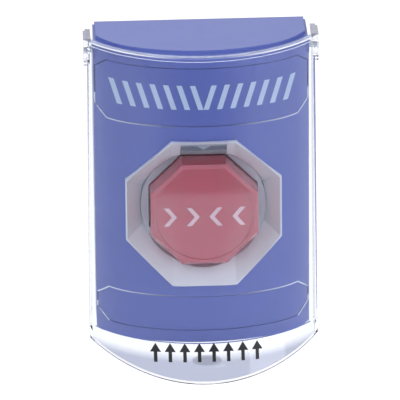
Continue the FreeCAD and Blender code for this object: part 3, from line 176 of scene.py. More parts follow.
class Effects:
    """The surface effects that several finishes share, each a node group that is built once."""

    def __init__(self) -> None:
        """Build the groups."""
        self.grain = self._grain()
        self.wear = self._wear()
        self.hairlines = self._hairlines()
        self.brushing = self._brushing()

    @staticmethod
    def _grain() -> bpy.types.NodeTree:
        """Build the fine pebble grain of a spark-eroded mould.

        Returns:
            The node group, with outputs Height and Tint.
        """
        graph, inputs = shader_group("mould_grain", {"Size": 0.4, "Flow": 9.0}, ("Height", "Tint"))
        place = graph.place()
        pebble_share, fine_share = 0.6, 0.4
        pebbles = graph.maths("DIVIDE", PER_METRE, inputs["Size"])
        cells = graph.add("ShaderNodeTexVoronoi", {"Vector": place, "Scale": pebbles},
                          feature="SMOOTH_F1").outputs["Distance"]
        fine = graph.add("ShaderNodeTexNoise", {"Vector": place, "Scale": pebbles, "Detail": 3.0})
        cloud = graph.add("ShaderNodeTexNoise", {
            "Vector": place, "Scale": graph.maths("DIVIDE", PER_METRE, inputs["Flow"]),
            "Detail": 2.0, "Distortion": 0.6})
        height = graph.maths("ADD", graph.maths("MULTIPLY", cells, pebble_share),
                             graph.maths("MULTIPLY", fine.outputs["Fac"], fine_share))
        graph.add("NodeGroupOutput", {"Height": height, "Tint": cloud.outputs["Fac"]})
        return graph.tree

    @staticmethod
    def _wear() -> bpy.types.NodeTree:
        """Build the faint dust and handling marks that make gloss uneven.

        Returns:
            The node group, with outputs Dust and Smear.
        """
        graph, inputs = shader_group("handling_wear", {"Size": 14.0, "Amount": 0.5}, ("Dust", "Smear"))
        place = graph.place()
        specks_a_metre = 900.0
        speck_edge, speck_core = 0.10, 0.04
        smear = graph.add("ShaderNodeTexNoise", {
            "Vector": place, "Scale": graph.maths("DIVIDE", PER_METRE, inputs["Size"]),
            "Detail": 5.0, "Roughness": 0.6, "Distortion": 1.2}).outputs["Fac"]
        specks = graph.add("ShaderNodeTexVoronoi", {"Vector": place, "Scale": specks_a_metre})
        speck = graph.add("ShaderNodeMapRange", {
            "Value": specks.outputs["Distance"], "From Min": speck_edge, "From Max": speck_core,
            "To Min": 0.0, "To Max": inputs["Amount"]})
        graph.add("NodeGroupOutput", {"Dust": speck.outputs["Result"],
                                      "Smear": graph.maths("MULTIPLY", smear, inputs["Amount"])})
        return graph.tree

    @staticmethod
    def _hairlines() -> bpy.types.NodeTree:
        """Build sparse hairline scratches in two directions.

        Returns:
            The node group, with output Scratch.
        """
        graph, inputs = shader_group("hairlines", {"Length": 18.0, "Amount": 0.5}, ("Scratch",))
        place = graph.place()
        stretch = (1.0, 0.05, 0.03)
        lines_a_length = 90.0 * PER_METRE
        faint, clear = 0.66, 0.74
        leans, tilt = (0.5, -0.9), 0.2
        layers = []
        for lean in leans:
            turned = graph.add("ShaderNodeMapping", {
                "Vector": place, "Rotation": (0.0, lean, tilt), "Scale": stretch})
            lines = graph.add("ShaderNodeTexNoise", {
                "Vector": turned.outputs["Vector"], "Detail": 2.0,
                "Scale": graph.maths("DIVIDE", lines_a_length, inputs["Length"])})
            layers.append(graph.add("ShaderNodeMapRange", {
                "Value": lines.outputs["Fac"], "From Min": faint, "From Max": clear,
                "To Min": 0.0, "To Max": inputs["Amount"]}).outputs["Result"])
        graph.add("NodeGroupOutput", {"Scratch": graph.maths("MAXIMUM", *layers)})
        return graph.tree

    @staticmethod
    def _brushing() -> bpy.types.NodeTree:
        """Build the drawn or ground streaks of metal parts.

        Returns:
            The node group, with outputs Height and Stain.
        """
        graph, inputs = shader_group("metal_streaks", {"Size": 0.12}, ("Height", "Stain"))
        place = graph.place()
        stretch = (0.08, 1.0, 1.0)
        stains_a_metre = 220.0
        stretched = graph.add("ShaderNodeMapping", {"Vector": place, "Scale": stretch})
        streaks = graph.add("ShaderNodeTexNoise", {
            "Vector": stretched.outputs["Vector"], "Detail": 4.0,
            "Scale": graph.maths("DIVIDE", PER_METRE, inputs["Size"])})
        stain = graph.add("ShaderNodeTexNoise", {"Vector": place, "Scale": stains_a_metre, "Detail": 3.0})
        graph.add("NodeGroupOutput", {"Height": streaks.outputs["Fac"], "Stain": stain.outputs["Fac"]})
        return graph.tree


@dataclass(frozen=True)
class Finish:
    """A finish with a name and a colour; each kind says how it is made.

    Attributes:
        name: The material's name.
        colour: Its main colour.
    """

    name: str
    colour: Colour

    def start(self) -> tuple[bpy.types.Material, Graph, bpy.types.Node]:
        """Start the material with its surface shader.

        Returns:
            The material, its graph and the surface shader.
        """
        material = bpy.data.materials.new(self.name)
        material.use_nodes = True
        graph = Graph(material.node_tree)
        shader = material.node_tree.nodes["Principled BSDF"]
        shader.inputs["Base Color"].default_value = (*self.colour, 1.0)
        return material, graph, shader

    def material(self, effects: Effects) -> bpy.types.Material:
        """Make the material with the shared effects, which each kind does in its own way."""
        raise NotImplementedError

    def soft_edge(self, graph: Graph, radius: float) -> Socket:
        """Give the normal of a surface whose edges are rounded by a radius in millimetres."""
        return graph.add("ShaderNodeBevel", {"Radius": radius * MM}, samples=EDGE_SAMPLES).outputs["Normal"]

    def shades(self, graph: Graph, mask: Socket, low: float, high: float) -> Socket:
        """Vary the main colour between a darker and a lighter shade.

        Args:
            graph: The material's graph.
            mask: What drives the shade, from 0 to 1.
            low: Factor of the darker shade.
            high: Factor of the lighter shade.

        Returns:
            The colour's socket.
        """
        darker = tuple(part * low for part in self.colour)
        lighter = tuple(min(1.0, part * high) for part in self.colour)
        return self.blend(graph, mask, darker, lighter)

    def blend(self, graph: Graph, mask: Socket, first: object, second: Colour) -> Socket:
        """Mix a colour in where a mask says.

        Args:
            graph: The material's graph.
            mask: The mask.
            first: The colour or socket outside the mask.
            second: The colour inside it.

        Returns:
            The colour's socket.
        """
        factor, outside, inside, result = 0, 6, 7, 2
        mix = graph.add("ShaderNodeMix", {
            factor: mask, outside: first if isinstance(first, Socket) else (*first, 1.0),
            inside: (*second, 1.0)}, data_type="RGBA")
        return mix.outputs[result]


@dataclass(frozen=True)
class MouldedPlastic(Finish):
    """Injection-moulded plastic: grain, flow tint, handling marks and softly rounded edges.

    Attributes:
        roughness: Mean roughness.
        grain: Height of the mould's grain in millimetres.
        pebble: Size of the grain's pebbles in millimetres.
        rounding: Radius of the softened edges in millimetres.
        coat: Weight of the gloss layer.
        coat_bend: Index of refraction of the gloss layer.
        coat_blur: Roughness of the gloss layer.
        flow: Factors of the darker and lighter colour where the melt has flowed.
        smear: How much handling roughens the surface.
    """

    roughness: float = 0.45
    grain: float = 0.02
    pebble: float = 0.5
    rounding: float = 0.3
    coat: float = 0.0
    coat_bend: float = 1.5
    coat_blur: float = 0.06
    flow: tuple[float, float] = (0.94, 1.05)
    smear: float = 0.16

    def material(self, effects: Effects) -> bpy.types.Material:
        """Make the material.

        Args:
            effects: The shared effects.

        Returns:
            The material.
        """
        material, graph, shader = self.start()
        grain = graph.add("ShaderNodeGroup", node_tree=effects.grain)
        grain.inputs["Size"].default_value = self.pebble
        wear = graph.add("ShaderNodeGroup", node_tree=effects.wear)
        graph.feed(shader, "Base Color", self.shades(graph, grain.outputs["Tint"], *self.flow))
        typical_smear = 0.25
        rough = graph.maths("ADD", graph.maths("MULTIPLY", wear.outputs["Smear"], self.smear),
                            self.roughness - self.smear * typical_smear)
        graph.feed(shader, "Roughness", graph.maths("ADD", rough, wear.outputs["Dust"]))
        bump = graph.add("ShaderNodeBump", {
            "Strength": 1.0, "Distance": self.grain * MM, "Height": grain.outputs["Height"],
            "Normal": self.soft_edge(graph, self.rounding)})
        graph.feed(shader, "Normal", bump.outputs["Normal"])
        shader.inputs["Coat Weight"].default_value = self.coat
        shader.inputs["Coat Roughness"].default_value = self.coat_blur
        shader.inputs["Coat IOR"].default_value = self.coat_bend
        return material


@dataclass(frozen=True)
class PaintedZonePlastic(MouldedPlastic):
    """Moulded plastic with a second colour painted in one zone: painted shade on the bezel, and a lighter
    band and wedge on the window.

    Attributes:
        second: The colour in the zone.
    """

    second: Colour = (0.5, 0.5, 0.5)

    def zone(self, graph: Graph, across: Socket, height: Socket) -> Socket:
        """Mask the zone by the distance from the middle and the height, both in metres."""
        raise NotImplementedError

    def material(self, effects: Effects) -> bpy.types.Material:
        """Make the material.

        Args:
            effects: The shared effects.

        Returns:
            The material.
        """
        material = super().material(effects)
        graph = Graph(material.node_tree)
        shader = material.node_tree.nodes["Principled BSDF"]
        plain = shader.inputs["Base Color"].links[0].from_socket
        side, height = graph.side_and_height()
        mask = self.zone(graph, graph.maths("ABSOLUTE", side), height)
        graph.feed(shader, "Base Color", self.blend(graph, mask, plain, self.second))
        return material


@dataclass(frozen=True)
class WindowPlastic(PaintedZonePlastic):
    """Smoked window with a lighter colour painted in a band along its top and in a wedge that hangs from
    the band, point down.

    Attributes:
        band_level: Height where the lighter band starts, in millimetres.
        wedge_tip: Height of the wedge's tip, in millimetres.
        wedge_slope: Half width that the wedge gains with its height.
    """

    band_level: float = 22.1
    wedge_tip: float = 19.5
    wedge_slope: float = 1.1

    def zone(self, graph: Graph, across: Socket, height: Socket) -> Socket:
        """Mask the band and the wedge.

        Args:
            graph: The material's graph.
            across: Distance from the middle, in metres.
            height: Height above the middle, in metres.

        Returns:
            The mask.
        """
        rise = graph.maths("SUBTRACT", height, self.wedge_tip * MM)
        wedge = graph.maths("LESS_THAN", across, graph.maths("MULTIPLY", rise, self.wedge_slope))
        return graph.maths("MAXIMUM", graph.maths("GREATER_THAN", height, self.band_level * MM), wedge)


@dataclass(frozen=True)
class BezelPlastic(PaintedZonePlastic):
    """Bezel plastic with painted shade on the strip of facet between the window and the well.

    Attributes:
        painted_shade_half: Half width of the painted shade, in millimetres.
        painted_shade_levels: Heights that the painted shade lies between, in millimetres.
        well_level: Height of the well's middle, in millimetres.
        well_radius: Radius of the well, in millimetres.
    """

    painted_shade_half: float = 9.2
    painted_shade_levels: tuple[float, float] = (10.0, 19.4)
    well_level: float = -6.4
    well_radius: float = 25.03

    def zone(self, graph: Graph, across: Socket, height: Socket) -> Socket:
        """Mask the painted shade.

        Args:
            graph: The material's graph.
            across: Distance from the middle, in metres.
            height: Height above the middle, in metres.

        Returns:
            The mask.
        """
        low, high = self.painted_shade_levels
        rise = graph.maths("SUBTRACT", height, self.well_level * MM)
        reach = graph.maths("SQRT", graph.maths("ADD", graph.maths("MULTIPLY", across, across),
                                                graph.maths("MULTIPLY", rise, rise)))
        mask = graph.maths("LESS_THAN", across, self.painted_shade_half * MM)
        for side, value, limit in (("GREATER_THAN", height, low), ("LESS_THAN", height, high),
                                   ("GREATER_THAN", reach, self.well_radius)):
            mask = graph.maths("MULTIPLY", mask, graph.maths(side, value, limit * MM))
        return mask


@dataclass(frozen=True)
class ClearSheet(Finish):
    """Clear moulded sheet, polished, with faint hairlines, satin hinge ears and dimple, and darker colours
    painted into the lift lip, the thumb dimple and the ears' tops.

    Attributes:
        roughness: Roughness of the polished faces.
        bend: Index of refraction.
        mirror: How strongly the faces mirror, where 0.5 is plain.
        rounding: Radius of the softened edges in millimetres.
        lip_tint: Colour that the lip takes on.
        lip_level: Height where the lip's tint starts, in millimetres.
        lip_fade: Height over which the tint grows, in millimetres.
        dimple_tint: Darker colour painted into the thumb dimple.
        dimple_level: Height of the dimple's middle, in millimetres.
        dimple_reach: Half width and half height of the dimple, in millimetres.
        ear_tint: Darker colour painted on the top faces of the hinge ears.
        ear_side: Distance from the middle where the ears start, in millimetres.
        ear_level: Height above which the ears are tinted, in millimetres.
        satin: Roughness of the ears and of the dimple.
        dimple_edge: Share of the dimple's reach where its tint starts and where it is full.
        scratch: How much the hairlines roughen the sheet.
        smear: How much handling roughens the sheet.
    """

    roughness: float = 0.02
    bend: float = 1.34
    mirror: float = 0.9
    rounding: float = 0.25
    lip_tint: Colour = (0.46, 0.49, 0.62)
    lip_level: float = -62.6
    lip_fade: float = 3.2
    dimple_tint: Colour = (0.34, 0.36, 0.46)
    dimple_level: float = -65.2
    dimple_reach: tuple[float, float] = (5.9, 1.9)
    ear_tint: Colour = (0.24, 0.24, 0.31)
    ear_side: float = 43.5
    ear_level: float = 62.3
    satin: float = 0.35
    dimple_edge: tuple[float, float] = (1.15, 0.85)
    scratch: float = 0.2
    smear: float = 0.25

    def zones(self, graph: Graph) -> tuple[Socket, ...]:
        """Mask the lip, the ears and the dimple by their place on the part.

        Args:
            graph: The material's graph.

        Returns:
            The masks of the lip, of the ears and of the dimple.
        """
        side, height = graph.side_and_height()
        lip = graph.add("ShaderNodeMapRange", {
            "Value": height, "From Min": self.lip_level * MM,
            "From Max": (self.lip_level - self.lip_fade) * MM}).outputs["Result"]
        outside = graph.maths("GREATER_THAN", graph.maths("ABSOLUTE", side), self.ear_side * MM)
        above = graph.maths("GREATER_THAN", height, self.ear_level * MM)
        across = graph.maths("DIVIDE", side, self.dimple_reach[0] * MM)
        rise = graph.maths("DIVIDE", graph.maths("SUBTRACT", height, self.dimple_level * MM),
                           self.dimple_reach[1] * MM)
        reach = graph.maths("ADD", graph.maths("MULTIPLY", across, across),
                            graph.maths("MULTIPLY", rise, rise))
        dimple = graph.add("ShaderNodeMapRange", {
            "Value": reach, "From Min": self.dimple_edge[0], "From Max": self.dimple_edge[1]})
        return lip, graph.maths("MULTIPLY", outside, above), dimple.outputs["Result"]

    def material(self, effects: Effects) -> bpy.types.Material:
        """Make the material.

        Args:
            effects: The shared effects.

        Returns:
            The material.
        """
        material, graph, shader = self.start()
        lines = graph.add("ShaderNodeGroup", node_tree=effects.hairlines)
        wear = graph.add("ShaderNodeGroup", node_tree=effects.wear)
        wear.inputs["Amount"].default_value = POLISHED_WEAR
        smear = graph.maths("MULTIPLY", wear.outputs["Smear"], self.smear)
        rough = graph.maths("ADD", graph.maths("MULTIPLY", lines.outputs["Scratch"], self.scratch), smear)
        lip, ears, dimple = self.zones(graph)
        tinted = self.blend(graph, lip, self.colour, self.lip_tint)
        tinted = self.blend(graph, dimple, tinted, self.dimple_tint)
        graph.feed(shader, "Base Color", self.blend(graph, ears, tinted, self.ear_tint))
        dull = graph.maths("MULTIPLY", graph.maths("MAXIMUM", ears, dimple), self.satin)
        rough = graph.maths("ADD", rough, dull)
        graph.feed(shader, "Roughness", graph.maths("ADD", rough, self.roughness))
        graph.feed(shader, "Normal", self.soft_edge(graph, self.rounding))
        shader.inputs["Transmission Weight"].default_value = 1.0
        shader.inputs["IOR"].default_value = self.bend
        shader.inputs["Specular IOR Level"].default_value = self.mirror
        return material


@dataclass(frozen=True)
class Sheen(Finish):
    """Painted highlight: a thin veil of light colour on a polished edge, stronger towards the sides.

    Attributes:
        middle: Cover at the middle of the station.
        ends: Cover at the sides.
        reach: Distance from the middle where the veil is full, in millimetres.
        roughness: Roughness of the edge.
        start_share: Share of the reach where the veil starts to grow.
    """

    middle: float = 0.3
    ends: float = 0.8
    reach: float = 30.0
    roughness: float = 0.3
    start_share: float = 0.3

    def material(self, effects: Effects) -> bpy.types.Material:
        """Make the material.

        Args:
            effects: The shared effects.

        Returns:
            The material.
        """
        material, graph, shader = self.start()
        wear = graph.add("ShaderNodeGroup", node_tree=effects.wear)
        wear.inputs["Amount"].default_value = POLISHED_WEAR
        cover = graph.add("ShaderNodeMapRange", {
            "Value": graph.maths("ABSOLUTE", graph.side_and_height()[0]),
            "From Min": self.start_share * self.reach * MM, "From Max": self.reach * MM,
            "To Min": self.middle, "To Max": self.ends}, clamp=True)
        graph.feed(shader, "Alpha", cover.outputs["Result"])
        graph.feed(shader, "Roughness", graph.maths("ADD", wear.outputs["Smear"], self.roughness))
        return material


@dataclass(frozen=True)
class Metal(Finish):
    """Drawn, stamped or plated metal with streaks and slight stains.

    Attributes:
        roughness: Mean roughness.
        streak: Width of the streaks in millimetres.
        stain: Factors of the darker and lighter colour of the stains.
        spread: How much the stains change the roughness.
        rounding: Radius of the softened edges in millimetres.
        depth: Depth of the streaks in millimetres.
    """

    roughness: float = 0.3
    streak: float = 0.12
    stain: tuple[float, float] = (0.86, 1.08)
    spread: float = 0.2
    rounding: float = 0.12
    depth: float = 0.01

    def material(self, effects: Effects) -> bpy.types.Material:
        """Make the material.

        Args:
            effects: The shared effects.

        Returns:
            The material.
        """
        material, graph, shader = self.start()
        streaks = graph.add("ShaderNodeGroup", node_tree=effects.brushing)
        streaks.inputs["Size"].default_value = self.streak
        graph.feed(shader, "Base Color", self.shades(graph, streaks.outputs["Stain"], *self.stain))
        typical_stain = 0.5
        spread = graph.maths("MULTIPLY", streaks.outputs["Stain"], self.spread)
        graph.feed(shader, "Roughness", graph.maths(
            "ADD", spread, self.roughness - self.spread * typical_stain))
        bump = graph.add("ShaderNodeBump", {
            "Strength": 0.6, "Distance": self.depth * MM, "Height": streaks.outputs["Height"],
            "Normal": self.soft_edge(graph, self.rounding)})
        graph.feed(shader, "Normal", bump.outputs["Normal"])
        shader.inputs["Metallic"].default_value = 1.0
        return material


FINISHES = {finish.name: finish for finish in (
    MouldedPlastic("housing_blue", tone(90, 106, 184), roughness=0.42, grain=0.012, pebble=0.55,
                   rounding=0.55, coat=0.3),
    MouldedPlastic("label_blue", tone(86, 102, 182), roughness=0.36, grain=0.006, pebble=0.3, rounding=0.4,
                   coat=0.3),
    # The bezel's second colour is painted shade on the facet strip below the window.
    BezelPlastic("bezel_grey", tone(233, 235, 240), roughness=0.38, grain=0.01, pebble=0.5, rounding=0.3,
                 second=tone(155, 164, 172)),
    MouldedPlastic("collar_grey", tone(186, 188, 198), roughness=0.42, grain=0.01, pebble=0.5,
                   rounding=0.25),
    MouldedPlastic("button_red", tone(194, 50, 78), roughness=0.3, grain=0.003, pebble=0.4, rounding=0.25,
                   coat=1.0, coat_bend=2.0, coat_blur=0.01),
    MouldedPlastic("plunger_white", tone(226, 224, 214), roughness=0.35, grain=0.004, pebble=0.4,
                   rounding=0.15),
    # The window's second colour is the lighter colour painted in its top band and wedge.
    WindowPlastic("smoked_window", tone(124, 144, 160), roughness=0.16, grain=0.002, pebble=0.4,
                  rounding=0.15, coat=0.4, second=tone(180, 203, 217)),
    MouldedPlastic("board_green", tone(20, 96, 52), roughness=0.3, grain=0.01, pebble=0.6, rounding=0.05,
                   coat=0.3),
    MouldedPlastic("led_clear", tone(226, 232, 236), roughness=0.15, grain=0.002, pebble=0.3, rounding=0.2,
                   coat=0.4),
    MouldedPlastic("bracket_grey", tone(104, 106, 112), roughness=0.5, grain=0.012, pebble=0.5,
                   rounding=0.2),
    MouldedPlastic("block_black", tone(34, 34, 38), roughness=0.48, grain=0.01, pebble=0.5, rounding=0.2),
    MouldedPlastic("plate_blue", tone(100, 110, 176), roughness=0.55, grain=0.02, pebble=0.7,
                   rounding=0.25),
    MouldedPlastic("mark_pale", tone(196, 212, 236), roughness=0.5, grain=0.003, pebble=0.2,
                   rounding=0.02),
    # rim_painted_sheen, lip_bright and label_bright are painted highlights on the edge strips.
    Sheen("rim_painted_sheen", tone(176, 188, 234), middle=0.5, ends=0.8),
    Sheen("lip_bright", tone(252, 252, 255), middle=0.8, ends=0.9),
    Sheen("label_bright", tone(236, 241, 255), middle=0.05, ends=0.95, reach=36.0),
    # drive_painted_shade is painted shade: the dark metal of the flat cross recesses.
    Metal("drive_painted_shade", tone(64, 66, 72), roughness=0.5, streak=0.08),
    # rim_bright is a painted highlight line on the rim's outer face.
    Sheen("rim_bright", tone(250, 252, 255), middle=0.12, ends=0.9),
    MouldedPlastic("mark_rose", tone(248, 214, 220), roughness=0.5, grain=0.003, pebble=0.2,
                   rounding=0.02),
    MouldedPlastic("mark_black", tone(26, 28, 36), roughness=0.5, grain=0.003, pebble=0.2, rounding=0.02),
    ClearSheet("clear_shield", tone(240, 244, 252)),
    Metal("contact_brass", tone(214, 178, 96), roughness=0.3, streak=0.1),
    Metal("screw_steel", tone(196, 198, 204), roughness=0.32, streak=0.08),
    Metal("spring_steel", tone(186, 188, 194), roughness=0.28, streak=0.08),
    Metal("pin_steel", tone(206, 208, 212), roughness=0.2, streak=0.06),
)}


class Paintbox:
    """Makes each finish once and puts it on objects."""

    def __init__(self) -> None:
        """Build the shared effects."""
        self.effects = Effects()
        self.made: dict[str, bpy.types.Material] = {}

    def material(self, slot: str) -> bpy.types.Material:
        """Give the material of a slot.

        Args:
            slot: The finish's name.

        Returns:
            The material.
        """
        if slot not in self.made:
            self.made[slot] = FINISHES[slot].material(self.effects)
        return self.made[slot]

    def dress(self, thing: bpy.types.Object, slot: str) -> None:
        """Put the finish of a slot on every face of an object."""
        thing.data.materials.clear()
        thing.data.materials.append(self.material(slot))

    def dress_nodes(self, record: dict) -> None:
        """Put its own finish on every piece of the frame.

        Args:
            record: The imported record.
        """
        for part in record["subparts"]:
            self.dress(frame["nodes"][part["node"]], part["material_slot"])
            LOG.info("dressed %s in %s", part["node"], part["material_slot"])


class GeometryRecipe:
    """A Geometry Nodes tree with named inputs, run once on a start mesh."""

    def __init__(self, name: str) -> None:
        """Start the tree.

        Args:
            name: The tree's name.
        """
        self.tree = bpy.data.node_groups.new(name, "GeometryNodeTree")
        self.graph = Graph(self.tree)
        for end in ("INPUT", "OUTPUT"):
            self.tree.interface.new_socket("Geometry", in_out=end, socket_type="NodeSocketGeometry")
        self.keys: dict[str, str] = {}
        self.source = self.graph.add("NodeGroupInput")

    def number(self, label: str, kind: str = "NodeSocketFloat") -> Socket:
        """Add a named input.

        Args:
            label: The input's name.
            kind: The socket's type.

        Returns:
            The socket inside the tree.
        """
        socket = self.tree.interface.new_socket(label, in_out="INPUT", socket_type=kind)
        self.keys[label] = socket.identifier
        return self.source.outputs[label]

    def close(self, geometry: Socket) -> None:
        """Realize the instances, set the material and end the tree.

        Args:
            geometry: The finished geometry.
        """
        paint = self.number("Finish", "NodeSocketMaterial")
        real = self.graph.add("GeometryNodeRealizeInstances", {0: geometry}).outputs[0]
        dressed = self.graph.add("GeometryNodeSetMaterial", {"Geometry": real, "Material": paint})
        self.graph.add("NodeGroupOutput", {0: dressed.outputs[0]})

    def make(self, name: str, start: bpy.types.Mesh, values: dict) -> bpy.types.Object:
        """Run the tree on a start mesh and keep the result as a plain mesh.

        Args:
            name: The new piece's name.
            start: The start mesh.
            values: Input name to value.

        Returns:
            The new piece.
        """
        thing = put(name, start)
        modifier = thing.modifiers.new("recipe", "NODES")
        modifier.node_group = self.tree
        for label, value in values.items():
            modifier[self.keys[label]] = value
        bpy.context.view_layer.update()
        ready = thing.evaluated_get(bpy.context.evaluated_depsgraph_get())
        result = bpy.data.meshes.new_from_object(ready)
        thing.modifiers.remove(modifier)
        thing.data = result
        result.name = name
        return thing


@dataclass(frozen=True)
class HousingFront:
    """The housing's bowed front, which its prints and trims follow.

    Attributes:
        bow: Radius of the wide arc in the middle.
        bow_angle: Degrees from the middle to that arc's end.
        shoulder: Radius of the arcs beside it.
        depth: How far the middle stands in front of the wall.
    """

    bow: float = 68.2
    bow_angle: float = 24.0
    shoulder: float = 31.6
    depth: float = 36.0

    def level(self, across: float) -> float:
        """Give the Y of the front.

        Args:
            across: Distance from the middle, in millimetres.

        Returns:
            The Y in millimetres.
        """
        angle = math.radians(self.bow_angle)
        centre = self.bow - self.depth
        if abs(across) <= self.bow * math.sin(angle):
            return centre - math.sqrt(self.bow ** 2 - across ** 2)
        reach = self.bow - self.shoulder
        beside = abs(across) - reach * math.sin(angle)
        return centre - reach * math.cos(angle) - math.sqrt(self.shoulder ** 2 - beside ** 2)


@dataclass(frozen=True)
class LiftLip:
    """The sloping front of the lip at the shield's foot.

    Attributes:
        start: Height where the slope starts.
        front: The Y of its middle there.
        reach: How far the lip comes forward over its height.
        height: Height of the slope.
        bow: Radius of the front.
        half: Half width that the bow covers.
    """

    start: float = -59.0
    front: float = -45.6
    reach: float = 7.9
    height: float = 15.4
    bow: float = 57.0
    half: float = 50.0

    @property
    def slope(self) -> float:
        """Give how far the lip comes forward for each millimetre down."""
        return self.reach / self.height

    def level(self, across: float, height: float) -> float:
        """Give the Y of the lip's front at a distance from the middle and a height, in millimetres."""
        ahead = self.front - (self.start - height) * self.slope
        return ahead + self.bow - math.sqrt(self.bow ** 2 - across ** 2)


FRONT = HousingFront()
LIP = LiftLip()


def outline_mesh(name: str, outline: list[tuple[float, float]]) -> bpy.types.Mesh:
    """Make one flat face in X and Z that looks towards the front.

    Args:
        name: The mesh's name.
        outline: Its corners in millimetres, turning left.

    Returns:
        The mesh.
    """
    mesh = bpy.data.meshes.new(name)
    mesh.from_pydata([(x * MM, 0.0, z * MM) for x, z in outline], [], [tuple(range(len(outline)))])
    return mesh


def drive_recipe() -> GeometryRecipe:
    """Build the tree that repeats a screw's cross recess along a line.

    Returns:
        The recipe.
    """
    recipe = GeometryRecipe("screw_drives")
    graph = recipe.graph
    count = recipe.number("Count", "NodeSocketInt")
    start, step, turn = (recipe.number(label, "NodeSocketVector") for label in ("Start", "Step", "Turn"))
    line = graph.add("GeometryNodeMeshLine", {"Count": count, "Start Location": start, "Offset": step},
                     mode="OFFSET")
    copies = graph.add("GeometryNodeInstanceOnPoints", {
        "Points": line.outputs["Mesh"], "Instance": recipe.source.outputs["Geometry"], "Rotation": turn})
    recipe.close(copies.outputs[0])
    return recipe


@dataclass
class ScrewDrives:
    """Cross recesses in the screw heads that can be seen, drawn as flat dark crosses of painted shade.

    Attributes:
        arm: Half length of a recess's arms.
        width: Width of the arms.
        lift: How far the recess's floor is drawn in front of the head.
        count: Screws in each set.
    """

    arm: float = 1.35
    width: float = 0.7
    lift: float = 0.03
    count: int = 2

    def build(self, paints: Paintbox) -> None:
        """Make one set of recesses for each set of screws.

        Args:
            paints: The finishes.
        """
        recipe = drive_recipe()
        cross = outline_mesh("cross_recess", self._cross())
        for name in ("terminal_screws_left", "terminal_screws_right"):
            low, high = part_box(name)
            radius = (high[0] - low[0]) / 2
            middle, back = (low[0] + high[0]) / 2, high[1] + self.lift * MM
            self._set(recipe, paints, name, cross, (middle, back, low[2] + radius),
                      (0.0, 0.0, high[2] - low[2] - 2 * radius), (0.0, 0.0, math.pi))
        low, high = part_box("housing_screws")
        radius = (high[1] - low[1]) / 2
        self._set(recipe, paints, "housing_screws", cross,
                  (low[0] + radius, (low[1] + high[1]) / 2, low[2] - self.lift * MM),
                  (high[0] - low[0] - 2 * radius, 0.0, 0.0), (math.pi / 2, 0.0, 0.0))

    def _set(self, recipe: GeometryRecipe, paints: Paintbox, name: str, cross: bpy.types.Mesh,
             start: tuple, span: tuple, turn: tuple) -> None:
        """Make the recesses of one set of screws.

        Args:
            recipe: The tree that repeats the recess.
            paints: The finishes.
            name: The screws' node.
            cross: One recess.
            start: The first head's middle.
            span: From the first head to the last.
            turn: Turn of the recess about X, Y and Z.
        """
        step = tuple(part / (self.count - 1) for part in span)
        drives = recipe.make(name + "_drives", cross, {
            "Count": self.count, "Start": start, "Step": step, "Turn": turn,
            "Finish": paints.material("drive_painted_shade")})
        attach(drives, "base")
        LOG.info("%s_drives: %d faces on base", name, len(drives.data.polygons))

    def _cross(self) -> list[tuple[float, float]]:
        """Follow a cross recess, arm by arm.

        Returns:
            The outline's corners.
        """
        arm, half = self.arm, self.width / 2
        quarter = [(half, half), (half, arm), (-half, arm)]
        outline = []
        for _ in range(4):
            outline += quarter
            quarter = [(-z, x) for x, z in quarter]
        return outline


def coil_recipe() -> GeometryRecipe:
    """Build the tree that winds a round wire into a coil spring, pointing to the front.

    Returns:
        The recipe.
    """
    recipe = GeometryRecipe("coil_spring")
    graph = recipe.graph
    turns, radius, length, wire = (recipe.number(label) for label in (
        "Turns", "Radius", "Length", "Wire Radius"))
    seat = recipe.number("Seat", "NodeSocketVector")
    points_a_turn, wire_sides = 40, 10
    helix = graph.add("GeometryNodeCurveSpiral", {
        "Resolution": points_a_turn, "Rotations": turns, "Start Radius": radius, "End Radius": radius,
        "Height": length})
    round_wire = graph.add("GeometryNodeCurvePrimitiveCircle", {"Resolution": wire_sides, "Radius": wire})
    coil = graph.add("GeometryNodeCurveToMesh", {
        "Curve": helix.outputs["Curve"], "Profile Curve": round_wire.outputs["Curve"], "Fill Caps": True})
    turned = graph.add("GeometryNodeTransform", {
        "Geometry": coil.outputs["Mesh"], "Translation": seat, "Rotation": (math.pi / 2, 0.0, 0.0)})
    recipe.close(turned.outputs["Geometry"])
    return recipe


@dataclass
class ReturnSpring:
    """The button's spring, drawn as short as it is when the button is pressed home.

    Attributes:
        turns: Turns of the wire.
        wire: Diameter of the wire.
        travel: How far the button moves.
        room: Room left in front of the pressed spring.
    """

    turns: float = 4.0
    wire: float = 1.1
    travel: float = 3.5
    room: float = 0.2

    def build(self, paints: Paintbox) -> None:
        """Wind the spring between its seat and the pressed button.

        Args:
            paints: The finishes.
        """
        low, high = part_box("return_spring")
        half = self.wire / 2 * MM
        length = high[1] - low[1] - (self.wire + self.travel + self.room) * MM
        seat = ((low[0] + high[0]) / 2, high[1] - half, (low[2] + high[2]) / 2)
        coil = coil_recipe().make("pressed_spring", bpy.data.meshes.new("wire_start"), {
            "Turns": self.turns, "Radius": (high[0] - low[0]) / 2 - half, "Length": length,
            "Wire Radius": half, "Seat": seat, "Finish": paints.material("spring_steel")})
        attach(coil, "base")
        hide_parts("return_spring")
        LOG.info("pressed_spring: %d faces on base", len(coil.data.polygons))


